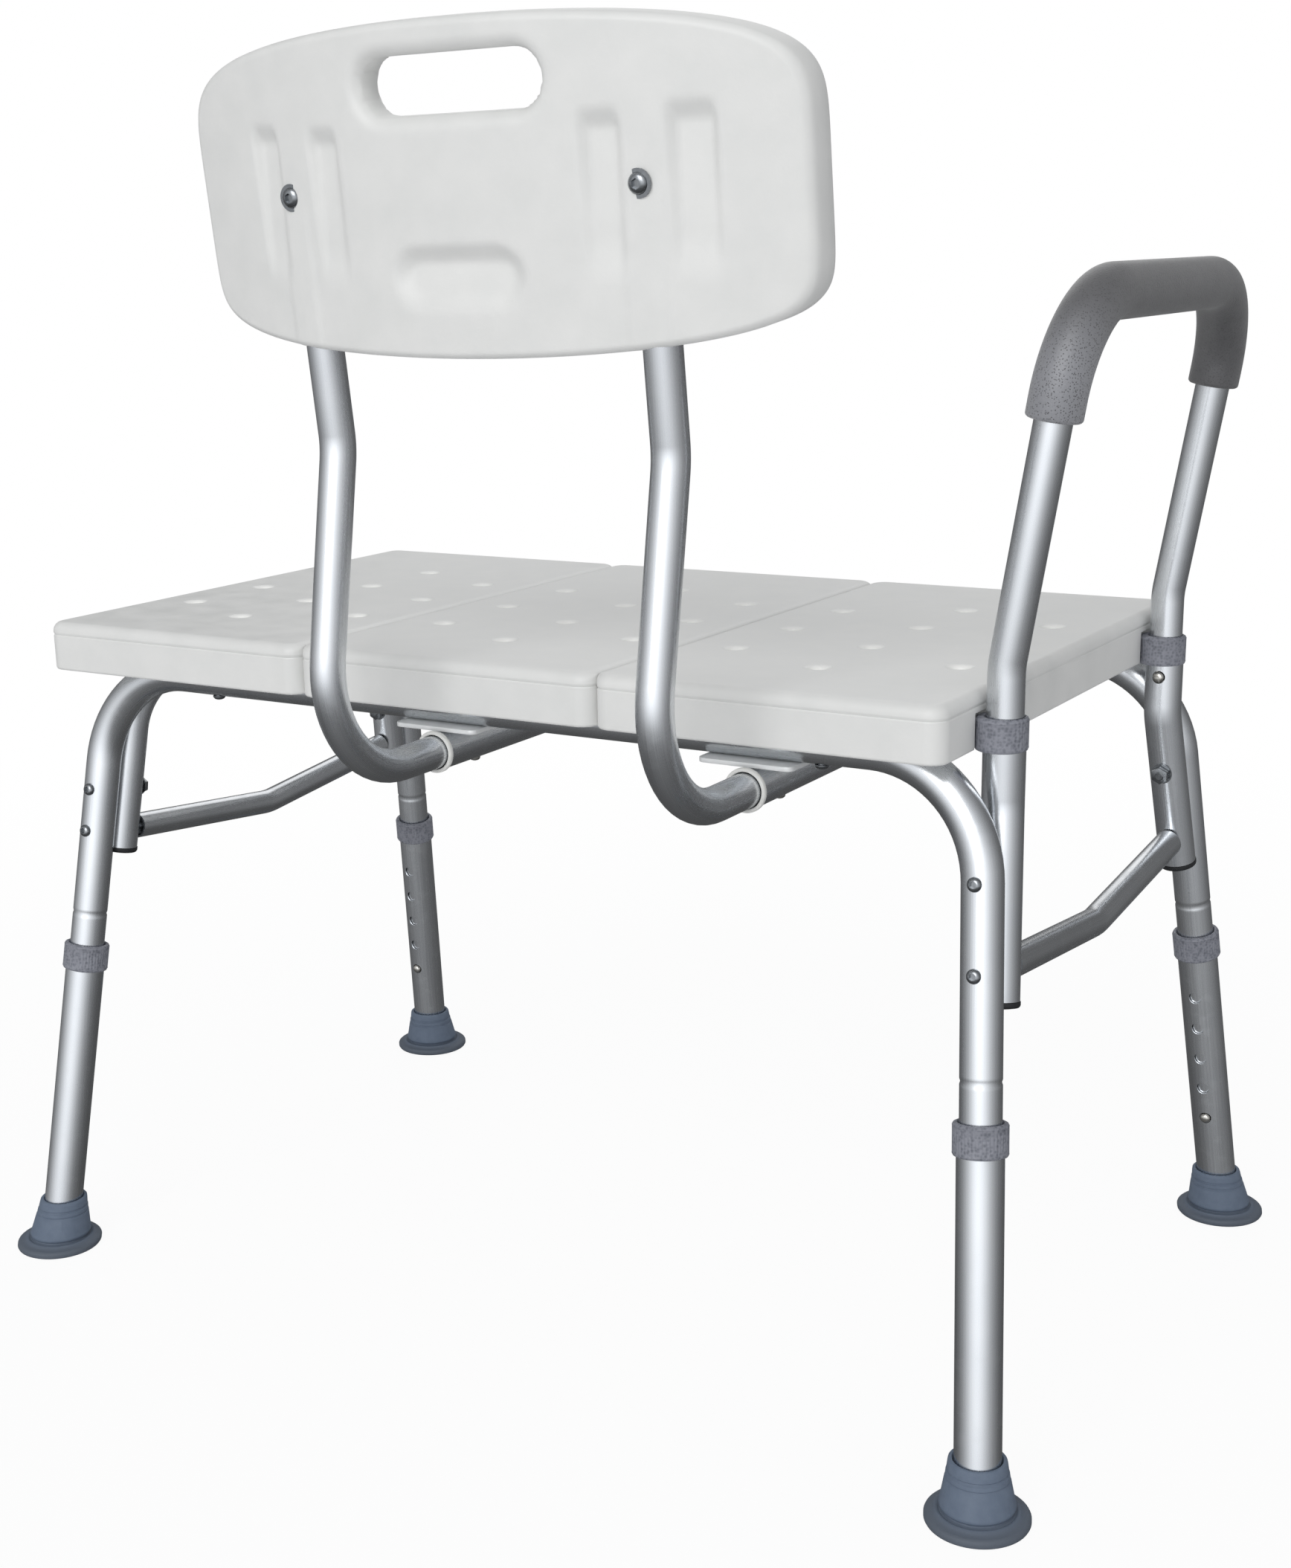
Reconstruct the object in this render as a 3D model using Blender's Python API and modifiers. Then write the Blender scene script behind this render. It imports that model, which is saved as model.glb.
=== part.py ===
"""Tub transfer bench: aluminium tube frame, moulded seat and back, lift-out armrest, telescopic legs.

The person on the bench faces -Y. The backrest is on the +Y side and the armrest at the -X end.
Heights are above the floor, and every size is in metres.
"""

import math

import bmesh
import bpy
from mathutils import Matrix, Vector

# Where the bench stands: the middle of its whole depth lies this far behind the middle of its legs
DEPTH_SHIFT = 0.0273
TOUCHING_GAP = 0.0003

# Legs and the rails under the seat: two long inverted U's, whose legs lean inward as they rise
LEG_SPREAD_X = 0.380
LEG_SPREAD_Y = 0.2455
LEAN_X = 0.0824
LEAN_Y = 0.1612
RAIL_HEIGHT = 0.4450
RAIL_BEND = 0.077
FRAME_TUBE = 0.0127
FRAME_WALL = 0.0016
LEG_TUBE_END = 0.065

# Telescopic leg ends
EXTENSION_RADIUS = 0.0143
EXTENSION_WALL = 0.0010
EXTENSION_TOP = 0.228
EXTENSION_END = 0.0145
HOLE_PITCH = 0.0254
HOLE_COUNT = 5
LOWEST_HOLE = 0.088
COLLAR_RADIUS = 0.01675
COLLAR_HEIGHT = 0.020
FOOT_HEIGHT = 0.037
FOOT_FLANGE = 0.0319

# Inner tubes at the two ends
INNER_TUBE_OFFSET = 0.0259
END_FRAME_TOP = 0.432
END_FRAME_BEND = 0.045
END_FRAME_FOOT = 0.305
RECEIVER_X = -0.346
RECEIVER_Y = 0.149
RECEIVER_TOP = 0.459
RECEIVER_BEND_HEIGHT = 0.412
RECEIVER_FOOT = 0.300
RECEIVER_WALL = 0.0011
ARM_COLLAR_RADIUS = 0.0158
ARM_COLLAR_OFFSET = 0.0019
BRACE_TUBE = 0.0095
BRACE_WALL = 0.0015
BRACE_DROP = 0.016

# Bolts through the leg and the inner tube, and screws up into the seat
BOLT_SHANK = 0.003
BOLT_HEAD = 0.0052
BOLT_HOLE = 0.0037
ARM_END_BOLTS = (0.3755, 0.323)
PLAIN_END_BOLTS = (0.354, 0.323)
SEAT_BOLT_X = 0.240
SEAT_BOLT_TOP = 0.474

# Armrest
ARM_TUBE = 0.0111
ARM_WALL = 0.0012
ARM_TUBE_END = 0.424
ARM_BEND_HEIGHT = 0.496
ARM_TOP = 0.7052
ARM_LEAN = 0.166
ARM_BEND = 0.058
GRIP_RADIUS = 0.0164
GRIP_START = 0.6375

# Backrest
BACK_MIDDLE_X = -0.0825
UPRIGHT_SPACING = 0.2328
BACK_RECEIVER_HEIGHT = 0.4160
BACK_RECEIVER_MOUTH = 0.195
RECEIVER_PLATE = (0.065, 0.034, 0.003)
UPRIGHT_END = 0.083
UPRIGHT_CORNER_Y = 0.3145
UPRIGHT_BEND = 0.070
UPRIGHT_KINK = (0.27905, 0.623)
UPRIGHT_TOP = (0.30192, 0.812)
PANEL_HALF_WIDTH = 0.2053
PANEL_HALF_HEIGHT = 0.0905
PANEL_THICKNESS = 0.026
PANEL_MIDDLE = (0.3088, 0.7678)
PANEL_CURVE_RADIUS = 0.560
PANEL_SQUARENESS_ABOVE = (2.0, 5.6)
PANEL_SQUARENESS_BELOW = (2.0, 8.3)
SLOT_SIZE = (0.120, 0.034)
SLOT_MIDDLE = (-0.0055, 0.824)

# Seat
SEAT_END_PLAIN = 0.371
SEAT_END_ARM = -0.3325
SEAT_DEPTH = 0.420
SEAT_BOTTOM = 0.447
SEAT_TOP = 0.482
SEAT_CORNER = 0.012
SEAT_EDGE = 0.007
SEAT_LOW_EDGE = 0.002
DRAIN_HOLE = 0.004
DRAIN_COLUMN = 0.078
DRAIN_ROWS_OUTER = (-0.068, 0.012, 0.092)
DRAIN_ROWS_MIDDLE = (-0.105, -0.027, 0.052, 0.130)

# Snap buttons
BUTTON_PIN = 0.0038
BUTTON_HOLE = 0.0045
BUTTON_FLANGE = 0.005
BUTTON_REACH = 0.0074
LEAF_SIZE = (0.007, 0.024, 0.0008)
ARM_BUTTON_HEIGHT = 0.439
BACK_BUTTON_Y = 0.150

ALUMINIUM = (0.62, 0.63, 0.64)
GREY_PLASTIC = (0.13, 0.14, 0.16)
WHITE_PLASTIC = (0.80, 0.81, 0.78)
BRIGHT_STEEL = (0.72, 0.72, 0.72)

SIDES = (("rear", 1), ("front", -1))
ENDS = (("plain", 1), ("arm", -1))


def clear_scene():
    for obj in list(bpy.data.objects):
        bpy.data.objects.remove(obj, do_unlink=True)


def new_collection(name):
    made = bpy.data.collections.new(name)
    bpy.context.scene.collection.children.link(made)
    return made


clear_scene()
PARTS = new_collection("transfer_bench")
CUTTERS = new_collection("cutters")


def pivot(name, place, parent=None):
    """An empty that carries the pieces which move together, at a point of their joint's axis."""
    made = bpy.data.objects.new(name, None)
    made.empty_display_size = 0.03
    made.location = Vector(place) - (Vector(parent["place"]) if parent else Vector())
    made.parent = parent
    made["place"] = tuple(place)
    PARTS.objects.link(made)
    return made


def carry(obj, holder):
    """Parents an object that was placed in the bench's own frame."""
    obj.parent = holder
    obj.matrix_parent_inverse = Matrix.Translation(-Vector(holder["place"]))
    return obj


def finish(obj, colour, metallic, roughness):
    """Gives the object a material of its own and shades it smooth across its round faces."""
    material = bpy.data.materials.new(obj.name)
    material.use_nodes = True
    shader = material.node_tree.nodes["Principled BSDF"]
    shader.inputs["Base Color"].default_value = (*colour, 1.0)
    shader.inputs["Metallic"].default_value = metallic
    shader.inputs["Roughness"].default_value = roughness
    obj.data.materials.clear()
    obj.data.materials.append(material)
    obj.data.shade_smooth()
    obj.data.set_sharp_from_angle(angle=math.radians(35))
    return obj


def aluminium(obj):
    return finish(obj, ALUMINIUM, 1.0, 0.32)


def grey_plastic(obj):
    return finish(obj, GREY_PLASTIC, 0.0, 0.55)


def white_plastic(obj):
    return finish(obj, WHITE_PLASTIC, 0.0, 0.45)


def bright_steel(obj):
    return finish(obj, BRIGHT_STEEL, 1.0, 0.2)


def add_object(name, mesh, collection=PARTS):
    made = bpy.data.objects.new(name, mesh)
    collection.objects.link(made)
    return made


def mesh_of(obj):
    """The object's mesh with its modifiers in it, as new data."""
    bpy.context.view_layer.update()
    graph = bpy.context.evaluated_depsgraph_get()
    return bpy.data.meshes.new_from_object(obj.evaluated_get(graph))


def edit_mesh(mesh, change):
    """Runs one bmesh edit on a mesh."""
    bm = bmesh.new()
    bm.from_mesh(mesh)
    change(bm)
    bm.to_mesh(mesh)
    bm.free()
    return mesh


def bent_route(corners, radii, steps=5):
    """Points along straight runs that meet in arcs, as a bent tube's axis does."""
    corners = [Vector(corner) for corner in corners]
    points = [corners[0]]
    for before, corner, after, radius in zip(corners, corners[1:], corners[2:], radii):
        back = (before - corner).normalized()
        ahead = (after - corner).normalized()
        angle = back.angle(ahead)
        centre = corner + (back + ahead).normalized() * radius / math.sin(angle / 2)
        start = corner + back * radius / math.tan(angle / 2) - centre
        axis = back.cross(ahead).normalized()
        turn = angle - math.pi
        points += [
            centre + Matrix.Rotation(turn * step / steps, 3, axis) @ start for step in range(steps + 1)
        ]
    return points + [corners[-1]]


def swept_mesh(points, radius, sides, capped):
    """A round skin along the points, open or capped at its ends."""
    curve = bpy.data.curves.new("route", "CURVE")
    curve.dimensions = "3D"
    curve.bevel_depth = radius
    curve.bevel_resolution = sides // 2 - 2
    curve.use_fill_caps = capped
    spline = curve.splines.new("POLY")
    spline.points.add(len(points) - 1)
    for knot, point in zip(spline.points, points):
        knot.co = (*point, 1.0)
    guide = add_object("route", curve, CUTTERS)
    mesh = mesh_of(guide)
    bpy.data.objects.remove(guide, do_unlink=True)
    return edit_mesh(mesh, lambda bm: bmesh.ops.remove_doubles(bm, verts=bm.verts, dist=1e-6))


def tube(name, points, radius, wall, sides=14):
    """A hollow tube: its outer skin, given a wall on the inside."""
    made = add_object(name, swept_mesh(points, radius, sides, False))
    shell = made.modifiers.new("wall", "SOLIDIFY")
    shell.thickness = wall
    shell.offset = -1.0
    shell.use_even_offset = True
    return made


def as_cutter(name, mesh):
    made = add_object(name, mesh, CUTTERS)
    made.display_type = "WIRE"
    made.hide_render = True
    return made


def cut(obj, cutter):
    hole = obj.modifiers.new(cutter.name, "BOOLEAN")
    hole.operation = "DIFFERENCE"
    hole.object = cutter
    carry_like(cutter, obj)


def carry_like(cutter, obj):
    """Keeps a cutter with its piece: both were placed in the bench's own frame."""
    if obj.parent:
        carry(cutter, obj.parent)


def drill(obj, holes, sides=6):
    """Cuts round holes, each given as its two ends and its radius."""
    bm = bmesh.new()
    for start, end, radius in holes:
        run = Vector(end) - Vector(start)
        aim = run.to_track_quat("Z", "X").to_matrix().to_4x4()
        bmesh.ops.create_cone(
            bm,
            cap_ends=True,
            segments=sides,
            radius1=radius,
            radius2=radius,
            depth=run.length,
            matrix=Matrix.Translation((Vector(start) + Vector(end)) / 2) @ aim,
        )
    mesh = bpy.data.meshes.new(obj.name + "_drill")
    bm.to_mesh(mesh)
    bm.free()
    cut(obj, as_cutter(obj.name + "_drill", mesh))


def turned(name, profile, steps, ring=False, collection=PARTS):
    """A solid turned about its Z axis. The profile runs down its outer side; a ring's closes."""
    mesh = bpy.data.meshes.new(name)
    count = len(profile)
    edges = [(number, (number + 1) % count) for number in range(count if ring else count - 1)]
    mesh.from_pydata([(radius, 0.0, height) for radius, height in profile], edges, [])
    made = add_object(name, mesh, collection)
    spin = made.modifiers.new("turn", "SCREW")
    spin.steps = steps
    spin.render_steps = steps
    spin.use_merge_vertices = True
    spin.merge_threshold = 0.00001
    return made


def turned_mesh(profile, steps, ring=False):
    made = turned("turned", profile, steps, ring, CUTTERS)
    mesh = mesh_of(made)
    bpy.data.objects.remove(made, do_unlink=True)
    return mesh


def aim_at(obj, place, direction, roll="Y"):
    """Puts a turned piece at a place, with its Z axis along the direction."""
    obj.location = place
    obj.rotation_mode = "QUATERNION"
    obj.rotation_quaternion = Vector(direction).to_track_quat("Z", roll)
    return obj


def rounded_block(size, upright_radius, upright_steps, top_edge=0.0, low_edge=0.0):
    """A block with round upright edges and softened rims, centred on its origin."""
    bm = bmesh.new()
    bmesh.ops.create_cube(bm, size=1.0, matrix=Matrix.Diagonal((*size, 1.0)))
    upright = [edge for edge in bm.edges if abs(edge.verts[0].co.z - edge.verts[1].co.z) > size[2] / 2]
    bmesh.ops.bevel(
        bm,
        geom=upright,
        offset=upright_radius,
        segments=upright_steps,
        profile=0.5,
        affect="EDGES",
        material=-1,
    )
    for radius, segments, half in ((top_edge, 2, 1), (low_edge, 1, -1)):
        if radius:
            level = size[2] * 0.49
            rim = [edge for edge in bm.edges if all(vertex.co.z * half > level for vertex in edge.verts)]
            bmesh.ops.bevel(
                bm,
                geom=rim,
                offset=radius,
                segments=segments,
                profile=0.5,
                affect="EDGES",
                material=-1,
            )
    mesh = bpy.data.meshes.new("block")
    bm.to_mesh(mesh)
    bm.free()
    return mesh


def leg_point(end, side, height, inset=0.0):
    """A point on a leg's axis, or on the line that lies inset from it towards the bench's middle."""
    across = LEG_SPREAD_Y - LEAN_Y * height - inset
    return Vector((end * (LEG_SPREAD_X - LEAN_X * height), side * across, height))


def leg_down(end, side):
    return (leg_point(end, side, 0.0) - leg_point(end, side, 1.0)).normalized()


def leg_outward(side):
    """Square to the leg, away from the bench's middle across its width."""
    return Vector((0.0, side, LEAN_Y)).normalized()


bench = pivot("bench", (0.0, 0.0, 0.0))
bench.location.y = -DEPTH_SHIFT
armrest = pivot("armrest", (RECEIVER_X, 0.0, RECEIVER_TOP), bench)
backrest = pivot("backrest", (BACK_MIDDLE_X, BACK_RECEIVER_MOUTH, BACK_RECEIVER_HEIGHT), bench)


def bolt_profile(grip, nut_gap=0.0, nut_radius=0.0, nut_length=0.0):
    """A button-head bolt from the top of its head down, with any nut that closes the stack."""
    profile = [
        (0.0, 0.0036),
        (0.0030, 0.0031),
        (BOLT_HEAD, 0.0013),
        (BOLT_HEAD, TOUCHING_GAP),
        (BOLT_SHANK, TOUCHING_GAP),
    ]
    if nut_radius:
        low = -grip - nut_gap
        profile += [
            (BOLT_SHANK, low),
            (nut_radius, low),
            (nut_radius, low - nut_length),
            (BOLT_SHANK, low - nut_length),
        ]
        grip += nut_gap + nut_length + 0.0015
    return profile + [(BOLT_SHANK, -grip), (0.0, -grip)]


def corner_stack(end, side, height):
    """Where a corner bolt's head sits, which way it points, and how far it reaches to its nut."""
    outward = leg_outward(side)
    head = leg_point(end, side, height) + outward * FRAME_TUBE
    inner = INNER_TUBE_OFFSET if end > 0 else receiver_gap(height)
    return head, outward, FRAME_TUBE * 2 + inner


def receiver_point(side, height):
    """A point on the axis of an armrest receiver's lower, leaning run."""
    low = leg_point(-1, side, RECEIVER_FOOT, INNER_TUBE_OFFSET)
    high = Vector((RECEIVER_X, side * RECEIVER_Y, RECEIVER_BEND_HEIGHT))
    return high.lerp(low, (RECEIVER_BEND_HEIGHT - height) / (RECEIVER_BEND_HEIGHT - RECEIVER_FOOT))


def receiver_gap(height):
    """How far the receiver's axis lies from the leg's, measured square to the leg."""
    away = leg_point(-1, 1, height) - receiver_point(1, height)
    return away.dot(leg_outward(1))


def make_leg_frames():
    for name, side in SIDES:
        corners = [
            leg_point(end, side, height)
            for end, height in ((1, LEG_TUBE_END), (1, RAIL_HEIGHT), (-1, RAIL_HEIGHT), (-1, LEG_TUBE_END))
        ]
        route = bent_route(corners, (RAIL_BEND, RAIL_BEND))
        frame = tube(name + "_leg_frame", route, FRAME_TUBE, FRAME_WALL)
        carry(aluminium(frame), bench)
        holes = []
        for end, heights in ((1, PLAIN_END_BOLTS), (-1, ARM_END_BOLTS)):
            for height in heights:
                head, outward, _ = corner_stack(end, side, height)
                holes.append((head + outward * 0.005, head - outward * 0.0308, BOLT_HOLE))
            seat = leg_point(end, side, LOWEST_HOLE)
            holes.append((seat, seat - leg_outward(side) * 0.02, BUTTON_HOLE))
        for end in (1, -1):
            middle = leg_point(end, side, RAIL_HEIGHT)
            middle.x = end * SEAT_BOLT_X
            rise = Vector((0.0, 0.0, 0.02))
            holes.append((middle - rise, middle + rise, BOLT_HOLE))
        drill(frame, holes)


def make_end_frame():
    corners = [
        leg_point(1, side, height, INNER_TUBE_OFFSET / leg_outward(1).y)
        for side, height in (
            (1, END_FRAME_FOOT),
            (1, END_FRAME_TOP),
            (-1, END_FRAME_TOP),
            (-1, END_FRAME_FOOT),
        )
    ]
    route = bent_route(corners, (END_FRAME_BEND, END_FRAME_BEND), 4)
    frame = carry(aluminium(tube("end_frame", route, FRAME_TUBE, FRAME_WALL)), bench)
    holes = []
    for _, side in SIDES:
        for height in PLAIN_END_BOLTS:
            head, outward, reach = corner_stack(1, side, height)
            holes.append((head - outward * 0.0202, head - outward * (reach + 0.005), BOLT_HOLE))
    drill(frame, holes)


def make_receivers():
    for name, side in SIDES:
        corners = (
            (RECEIVER_X, side * RECEIVER_Y, RECEIVER_TOP),
            (RECEIVER_X, side * RECEIVER_Y, RECEIVER_BEND_HEIGHT),
            receiver_point(side, RECEIVER_FOOT),
        )
        receiver = tube("arm_receiver_" + name, bent_route(corners, (0.060,), 3), FRAME_TUBE, RECEIVER_WALL)
        carry(aluminium(receiver), bench)
        holes = []
        for height in ARM_END_BOLTS:
            head, outward, reach = corner_stack(-1, side, height)
            holes.append((head - outward * 0.0202, head - outward * (reach + 0.005), BOLT_HOLE))
        seat = Vector((RECEIVER_X, side * RECEIVER_Y, ARM_BUTTON_HEIGHT))
        holes.append((seat, seat - Vector((0.0, side * 0.02, 0.0)), BUTTON_HOLE))
        drill(receiver, holes)
        make_arm_collar(name, side)


def make_arm_collar(name, side):
    """A collar that is thicker towards the seat: its outer skin stands off centre."""
    mesh = turned_mesh(
        (
            (ARM_COLLAR_RADIUS, 0.467),
            (ARM_COLLAR_RADIUS, 0.447),
            (0.0132, 0.447),
            (0.0132, RECEIVER_TOP + TOUCHING_GAP),
            (0.0117, RECEIVER_TOP + TOUCHING_GAP),
            (0.0117, 0.467),
        ),
        16,
        ring=True,
    )
    for vertex in mesh.vertices:
        if math.hypot(vertex.co.x, vertex.co.y) > 0.015:
            vertex.co.x += ARM_COLLAR_OFFSET
    mesh.transform(Matrix.Translation((RECEIVER_X, side * RECEIVER_Y, 0.0)))
    carry(grey_plastic(add_object("arm_collar_" + name, mesh)), bench)


def make_braces():
    """Each brace starts where the lower corner bolts come out of the inner tubes."""
    for name, end in ENDS:
        lower = PLAIN_END_BOLTS[1] if end > 0 else ARM_END_BOLTS[1]
        head, outward, reach = corner_stack(end, 1, lower)
        start = head - outward * (reach + 0.0022)
        corners = (
            start,
            (start.x, 0.0, start.z - BRACE_DROP),
            (start.x, -start.y, start.z),
        )
        route = bent_route(corners, (0.060,), 2)
        carry(aluminium(tube("end_brace_" + name, route, BRACE_TUBE, BRACE_WALL)), bench)


def make_corner_bolts():
    """The upper bolts take a nut. The lower ones screw into a plug inside the brace's end."""
    for end_name, end in ENDS:
        heights = PLAIN_END_BOLTS if end > 0 else ARM_END_BOLTS
        for side_name, side in SIDES:
            for place, height in zip(("upper", "lower"), heights):
                head, outward, reach = corner_stack(end, side, height)
                if place == "upper":
                    profile = bolt_profile(reach, TOUCHING_GAP, 0.0058, 0.005)
                else:
                    profile = bolt_profile(reach, 0.003, 0.0068, 0.008)
                bolt = turned(f"corner_bolt_{end_name}_{side_name}_{place}", profile, 8)
                carry(aim_at(bright_steel(bolt), head, outward), bench)


def make_legs():
    for end_name, end in ENDS:
        for side_name, side in SIDES:
            tag = f"{end_name}_{side_name}"
            down = leg_down(end, side)
            top = leg_point(end, side, EXTENSION_TOP)
            slide = pivot("leg_slide_" + tag, top, bench)
            make_extension(tag, end, side, slide)
            collar = turned(
                "leg_collar_" + tag,
                (
                    (COLLAR_RADIUS, 0.009),
                    (COLLAR_RADIUS, 0.009 - COLLAR_HEIGHT),
                    (0.0148, 0.009 - COLLAR_HEIGHT),
                    (0.0148, TOUCHING_GAP),
                    (0.0133, TOUCHING_GAP),
                    (0.0133, 0.009),
                ),
                16,
                ring=True,
            )
            carry(aim_at(grey_plastic(collar), top, -down), slide)
            make_foot(tag, end, side, slide)


def make_extension(tag, end, side, slide):
    route = [leg_point(end, side, EXTENSION_END), leg_point(end, side, EXTENSION_TOP)]
    extension = tube("leg_extension_" + tag, route, EXTENSION_RADIUS, EXTENSION_WALL)
    carry(aluminium(extension), slide)
    lowest = leg_point(end, side, LOWEST_HOLE)
    holes = []
    for number in range(HOLE_COUNT):
        middle = lowest - leg_down(end, side) * HOLE_PITCH * number
        holes.append((middle, middle - leg_outward(side) * 0.02, BUTTON_HOLE))
    drill(extension, holes)


def make_foot(tag, end, side, slide):
    """The rubber tip: turned upright, then slanted along the leg, so that its sole stays flat."""
    profile = (
        (0.0, 0.0115),
        (0.0154, 0.0115),
        (0.0154, FOOT_HEIGHT),
        (0.0173, FOOT_HEIGHT - 0.0006),
        (0.0189, 0.026),
        (0.0224, 0.0115),
        (0.0232, 0.0075),
        (FOOT_FLANGE - 0.0008, 0.0042),
        (FOOT_FLANGE, 0.0034),
        (FOOT_FLANGE, 0.0),
        (0.0, 0.0),
    )
    mesh = turned_mesh(tuple(reversed(profile)), 16)
    edit_mesh(mesh, lambda bm: bmesh.ops.reverse_faces(bm, faces=bm.faces))
    slant = Matrix.Identity(4)
    slant[0][2] = -end * LEAN_X
    slant[1][2] = -side * LEAN_Y
    mesh.transform(Matrix.Translation(leg_point(end, side, 0.0)) @ slant)
    carry(grey_plastic(add_object("foot_" + tag, mesh)), slide)


def snap_button_mesh():
    """A pin with its flange, and the spring leaf that carries it. Z is the way it pops out."""
    profile = (
        (0.0, BUTTON_REACH),
        (0.0026, BUTTON_REACH - 0.0003),
        (BUTTON_PIN, BUTTON_REACH - 0.0014),
        (BUTTON_PIN, 0.0),
        (BUTTON_FLANGE, 0.0),
        (BUTTON_FLANGE, -0.0010),
        (0.0, -0.0010),
    )
    pin = add_object("pin", turned_mesh(profile, 8), CUTTERS)
    width, length, thickness = LEAF_SIZE
    bm = bmesh.new()
    bmesh.ops.create_cube(
        bm,
        size=1.0,
        matrix=Matrix.Translation((0.0, length / 2, -0.0005))
        @ Matrix.Diagonal((width, length, thickness, 1.0)),
    )
    leaf_mesh = bpy.data.meshes.new("leaf")
    bm.to_mesh(leaf_mesh)
    bm.free()
    leaf = add_object("leaf", leaf_mesh, CUTTERS)
    join = pin.modifiers.new("leaf", "BOOLEAN")
    join.operation = "UNION"
    join.object = leaf
    mesh = mesh_of(pin)
    bpy.data.objects.remove(pin, do_unlink=True)
    bpy.data.objects.remove(leaf, do_unlink=True)
    return mesh


def place_button(name, mesh, axis_point, out, along, radial, holder):
    """Seats a snap button in a tube: it points out, and its leaf lies along the tube."""
    out, along = out.normalized(), along.normalized()
    button = add_object(name, mesh.copy())
    turn = Matrix((along.cross(out), along, out)).transposed().to_4x4()
    seat = pivot(name + "_slide", axis_point + out * radial, holder)
    button.data.transform(Matrix.Translation(axis_point + out * radial) @ turn)
    carry(bright_steel(button), seat)


def make_buttons():
    mesh = snap_button_mesh()
    in_leg = FRAME_TUBE - FRAME_WALL - 0.0017
    in_arm = ARM_TUBE - ARM_WALL - 0.0021
    for end_name, end in ENDS:
        for side_name, side in SIDES:
            place_button(
                f"leg_button_{end_name}_{side_name}",
                mesh,
                leg_point(end, side, LOWEST_HOLE),
                -leg_outward(side),
                -leg_down(end, side),
                in_leg,
                bench,
            )
    up, down, forward = Vector((0, 0, 1)), Vector((0, 0, -1)), Vector((0, -1, 0))
    for name, side in SIDES:
        seat = Vector((RECEIVER_X, side * RECEIVER_Y, ARM_BUTTON_HEIGHT))
        place_button("arm_button_" + name, mesh, seat, forward * side, up, in_arm, armrest)
    for name, x in upright_places():
        seat = Vector((x, BACK_BUTTON_Y, BACK_RECEIVER_HEIGHT))
        place_button("back_button_" + name, mesh, seat, down, forward, in_arm, backrest)


def upright_places():
    """The backrest's two uprights: their names and where they stand along the bench."""
    return (
        ("left", BACK_MIDDLE_X + UPRIGHT_SPACING / 2),
        ("right", BACK_MIDDLE_X - UPRIGHT_SPACING / 2),
    )


def make_back_receivers():
    for name, x in upright_places():
        ends = [Vector((x, y, BACK_RECEIVER_HEIGHT)) for y in (BACK_RECEIVER_MOUTH, -BACK_RECEIVER_MOUTH)]
        receiver = tube("back_receiver_" + name, ends, FRAME_TUBE, RECEIVER_WALL)
        carry(aluminium(receiver), bench)
        seat = Vector((x, BACK_BUTTON_Y, BACK_RECEIVER_HEIGHT))
        drill(receiver, [(seat, seat - Vector((0.0, 0.0, 0.02)), BUTTON_HOLE)])
        ring = turned(
            "receiver_ring_" + name,
            (
                (0.0141, 0.0019),
                (0.0141, -0.0016),
                (0.0131, -0.0016),
                (0.0131, 0.0004),
                (0.0117, 0.0004),
                (0.0117, 0.0019),
            ),
            16,
            ring=True,
        )
        carry(aim_at(white_plastic(ring), ends[0], (0.0, 1.0, 0.0)), bench)
        for side_name, side in SIDES:
            block = rounded_block(RECEIVER_PLATE, 0.004, 2)
            plate = add_object(f"receiver_plate_{name}_{side_name}", block)
            top = RAIL_HEIGHT - FRAME_TUBE - TOUCHING_GAP
            plate.location = (x + 0.004, side * 0.1735, top - RECEIVER_PLATE[2] / 2)
            carry(bright_steel(plate), bench)


def upright_route(x):
    corners = (
        (x, UPRIGHT_END, BACK_RECEIVER_HEIGHT),
        (x, UPRIGHT_CORNER_Y, BACK_RECEIVER_HEIGHT),
        (x, *UPRIGHT_KINK),
        (x, *UPRIGHT_TOP),
    )
    first = bent_route(corners[:3], (UPRIGHT_BEND,))
    second = bent_route(corners[1:], (0.060,), 2)
    return first[:-1] + second[1:]


def panel_tilt():
    """The backrest leans back with the upper run of its uprights."""
    return math.atan2(UPRIGHT_TOP[0] - UPRIGHT_KINK[0], UPRIGHT_TOP[1] - UPRIGHT_KINK[1])


def panel_frame():
    """Turns the panel's own frame into the bench's: X along the bench, Y square to it, Z up it."""
    middle = Vector((BACK_MIDDLE_X, *PANEL_MIDDLE))
    return Matrix.Translation(middle) @ Matrix.Rotation(-panel_tilt(), 4, "X")


def make_uprights():
    for name, x in upright_places():
        upright = tube("back_upright_" + name, upright_route(x), ARM_TUBE, ARM_WALL)
        carry(aluminium(upright), backrest)
        seat = Vector((x, BACK_BUTTON_Y, BACK_RECEIVER_HEIGHT))
        place = panel_bolt_place(x)
        rear = panel_frame().to_3x3() @ Vector((0.0, 1.0, 0.0))
        drill(
            upright,
            [
                (seat, seat - Vector((0.0, 0.0, 0.02)), BUTTON_HOLE),
                (place + rear * 0.01, place - rear * 0.016, BOLT_HOLE),
            ],
        )


def panel_bolt_place(x):
    """The middle of a back bolt's head, on the panel's rear face."""
    aside = x - BACK_MIDDLE_X
    sag = aside * aside / (2 * PANEL_CURVE_RADIUS)
    return panel_frame() @ Vector((aside, PANEL_THICKNESS / 2 - sag, 0.0))


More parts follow.
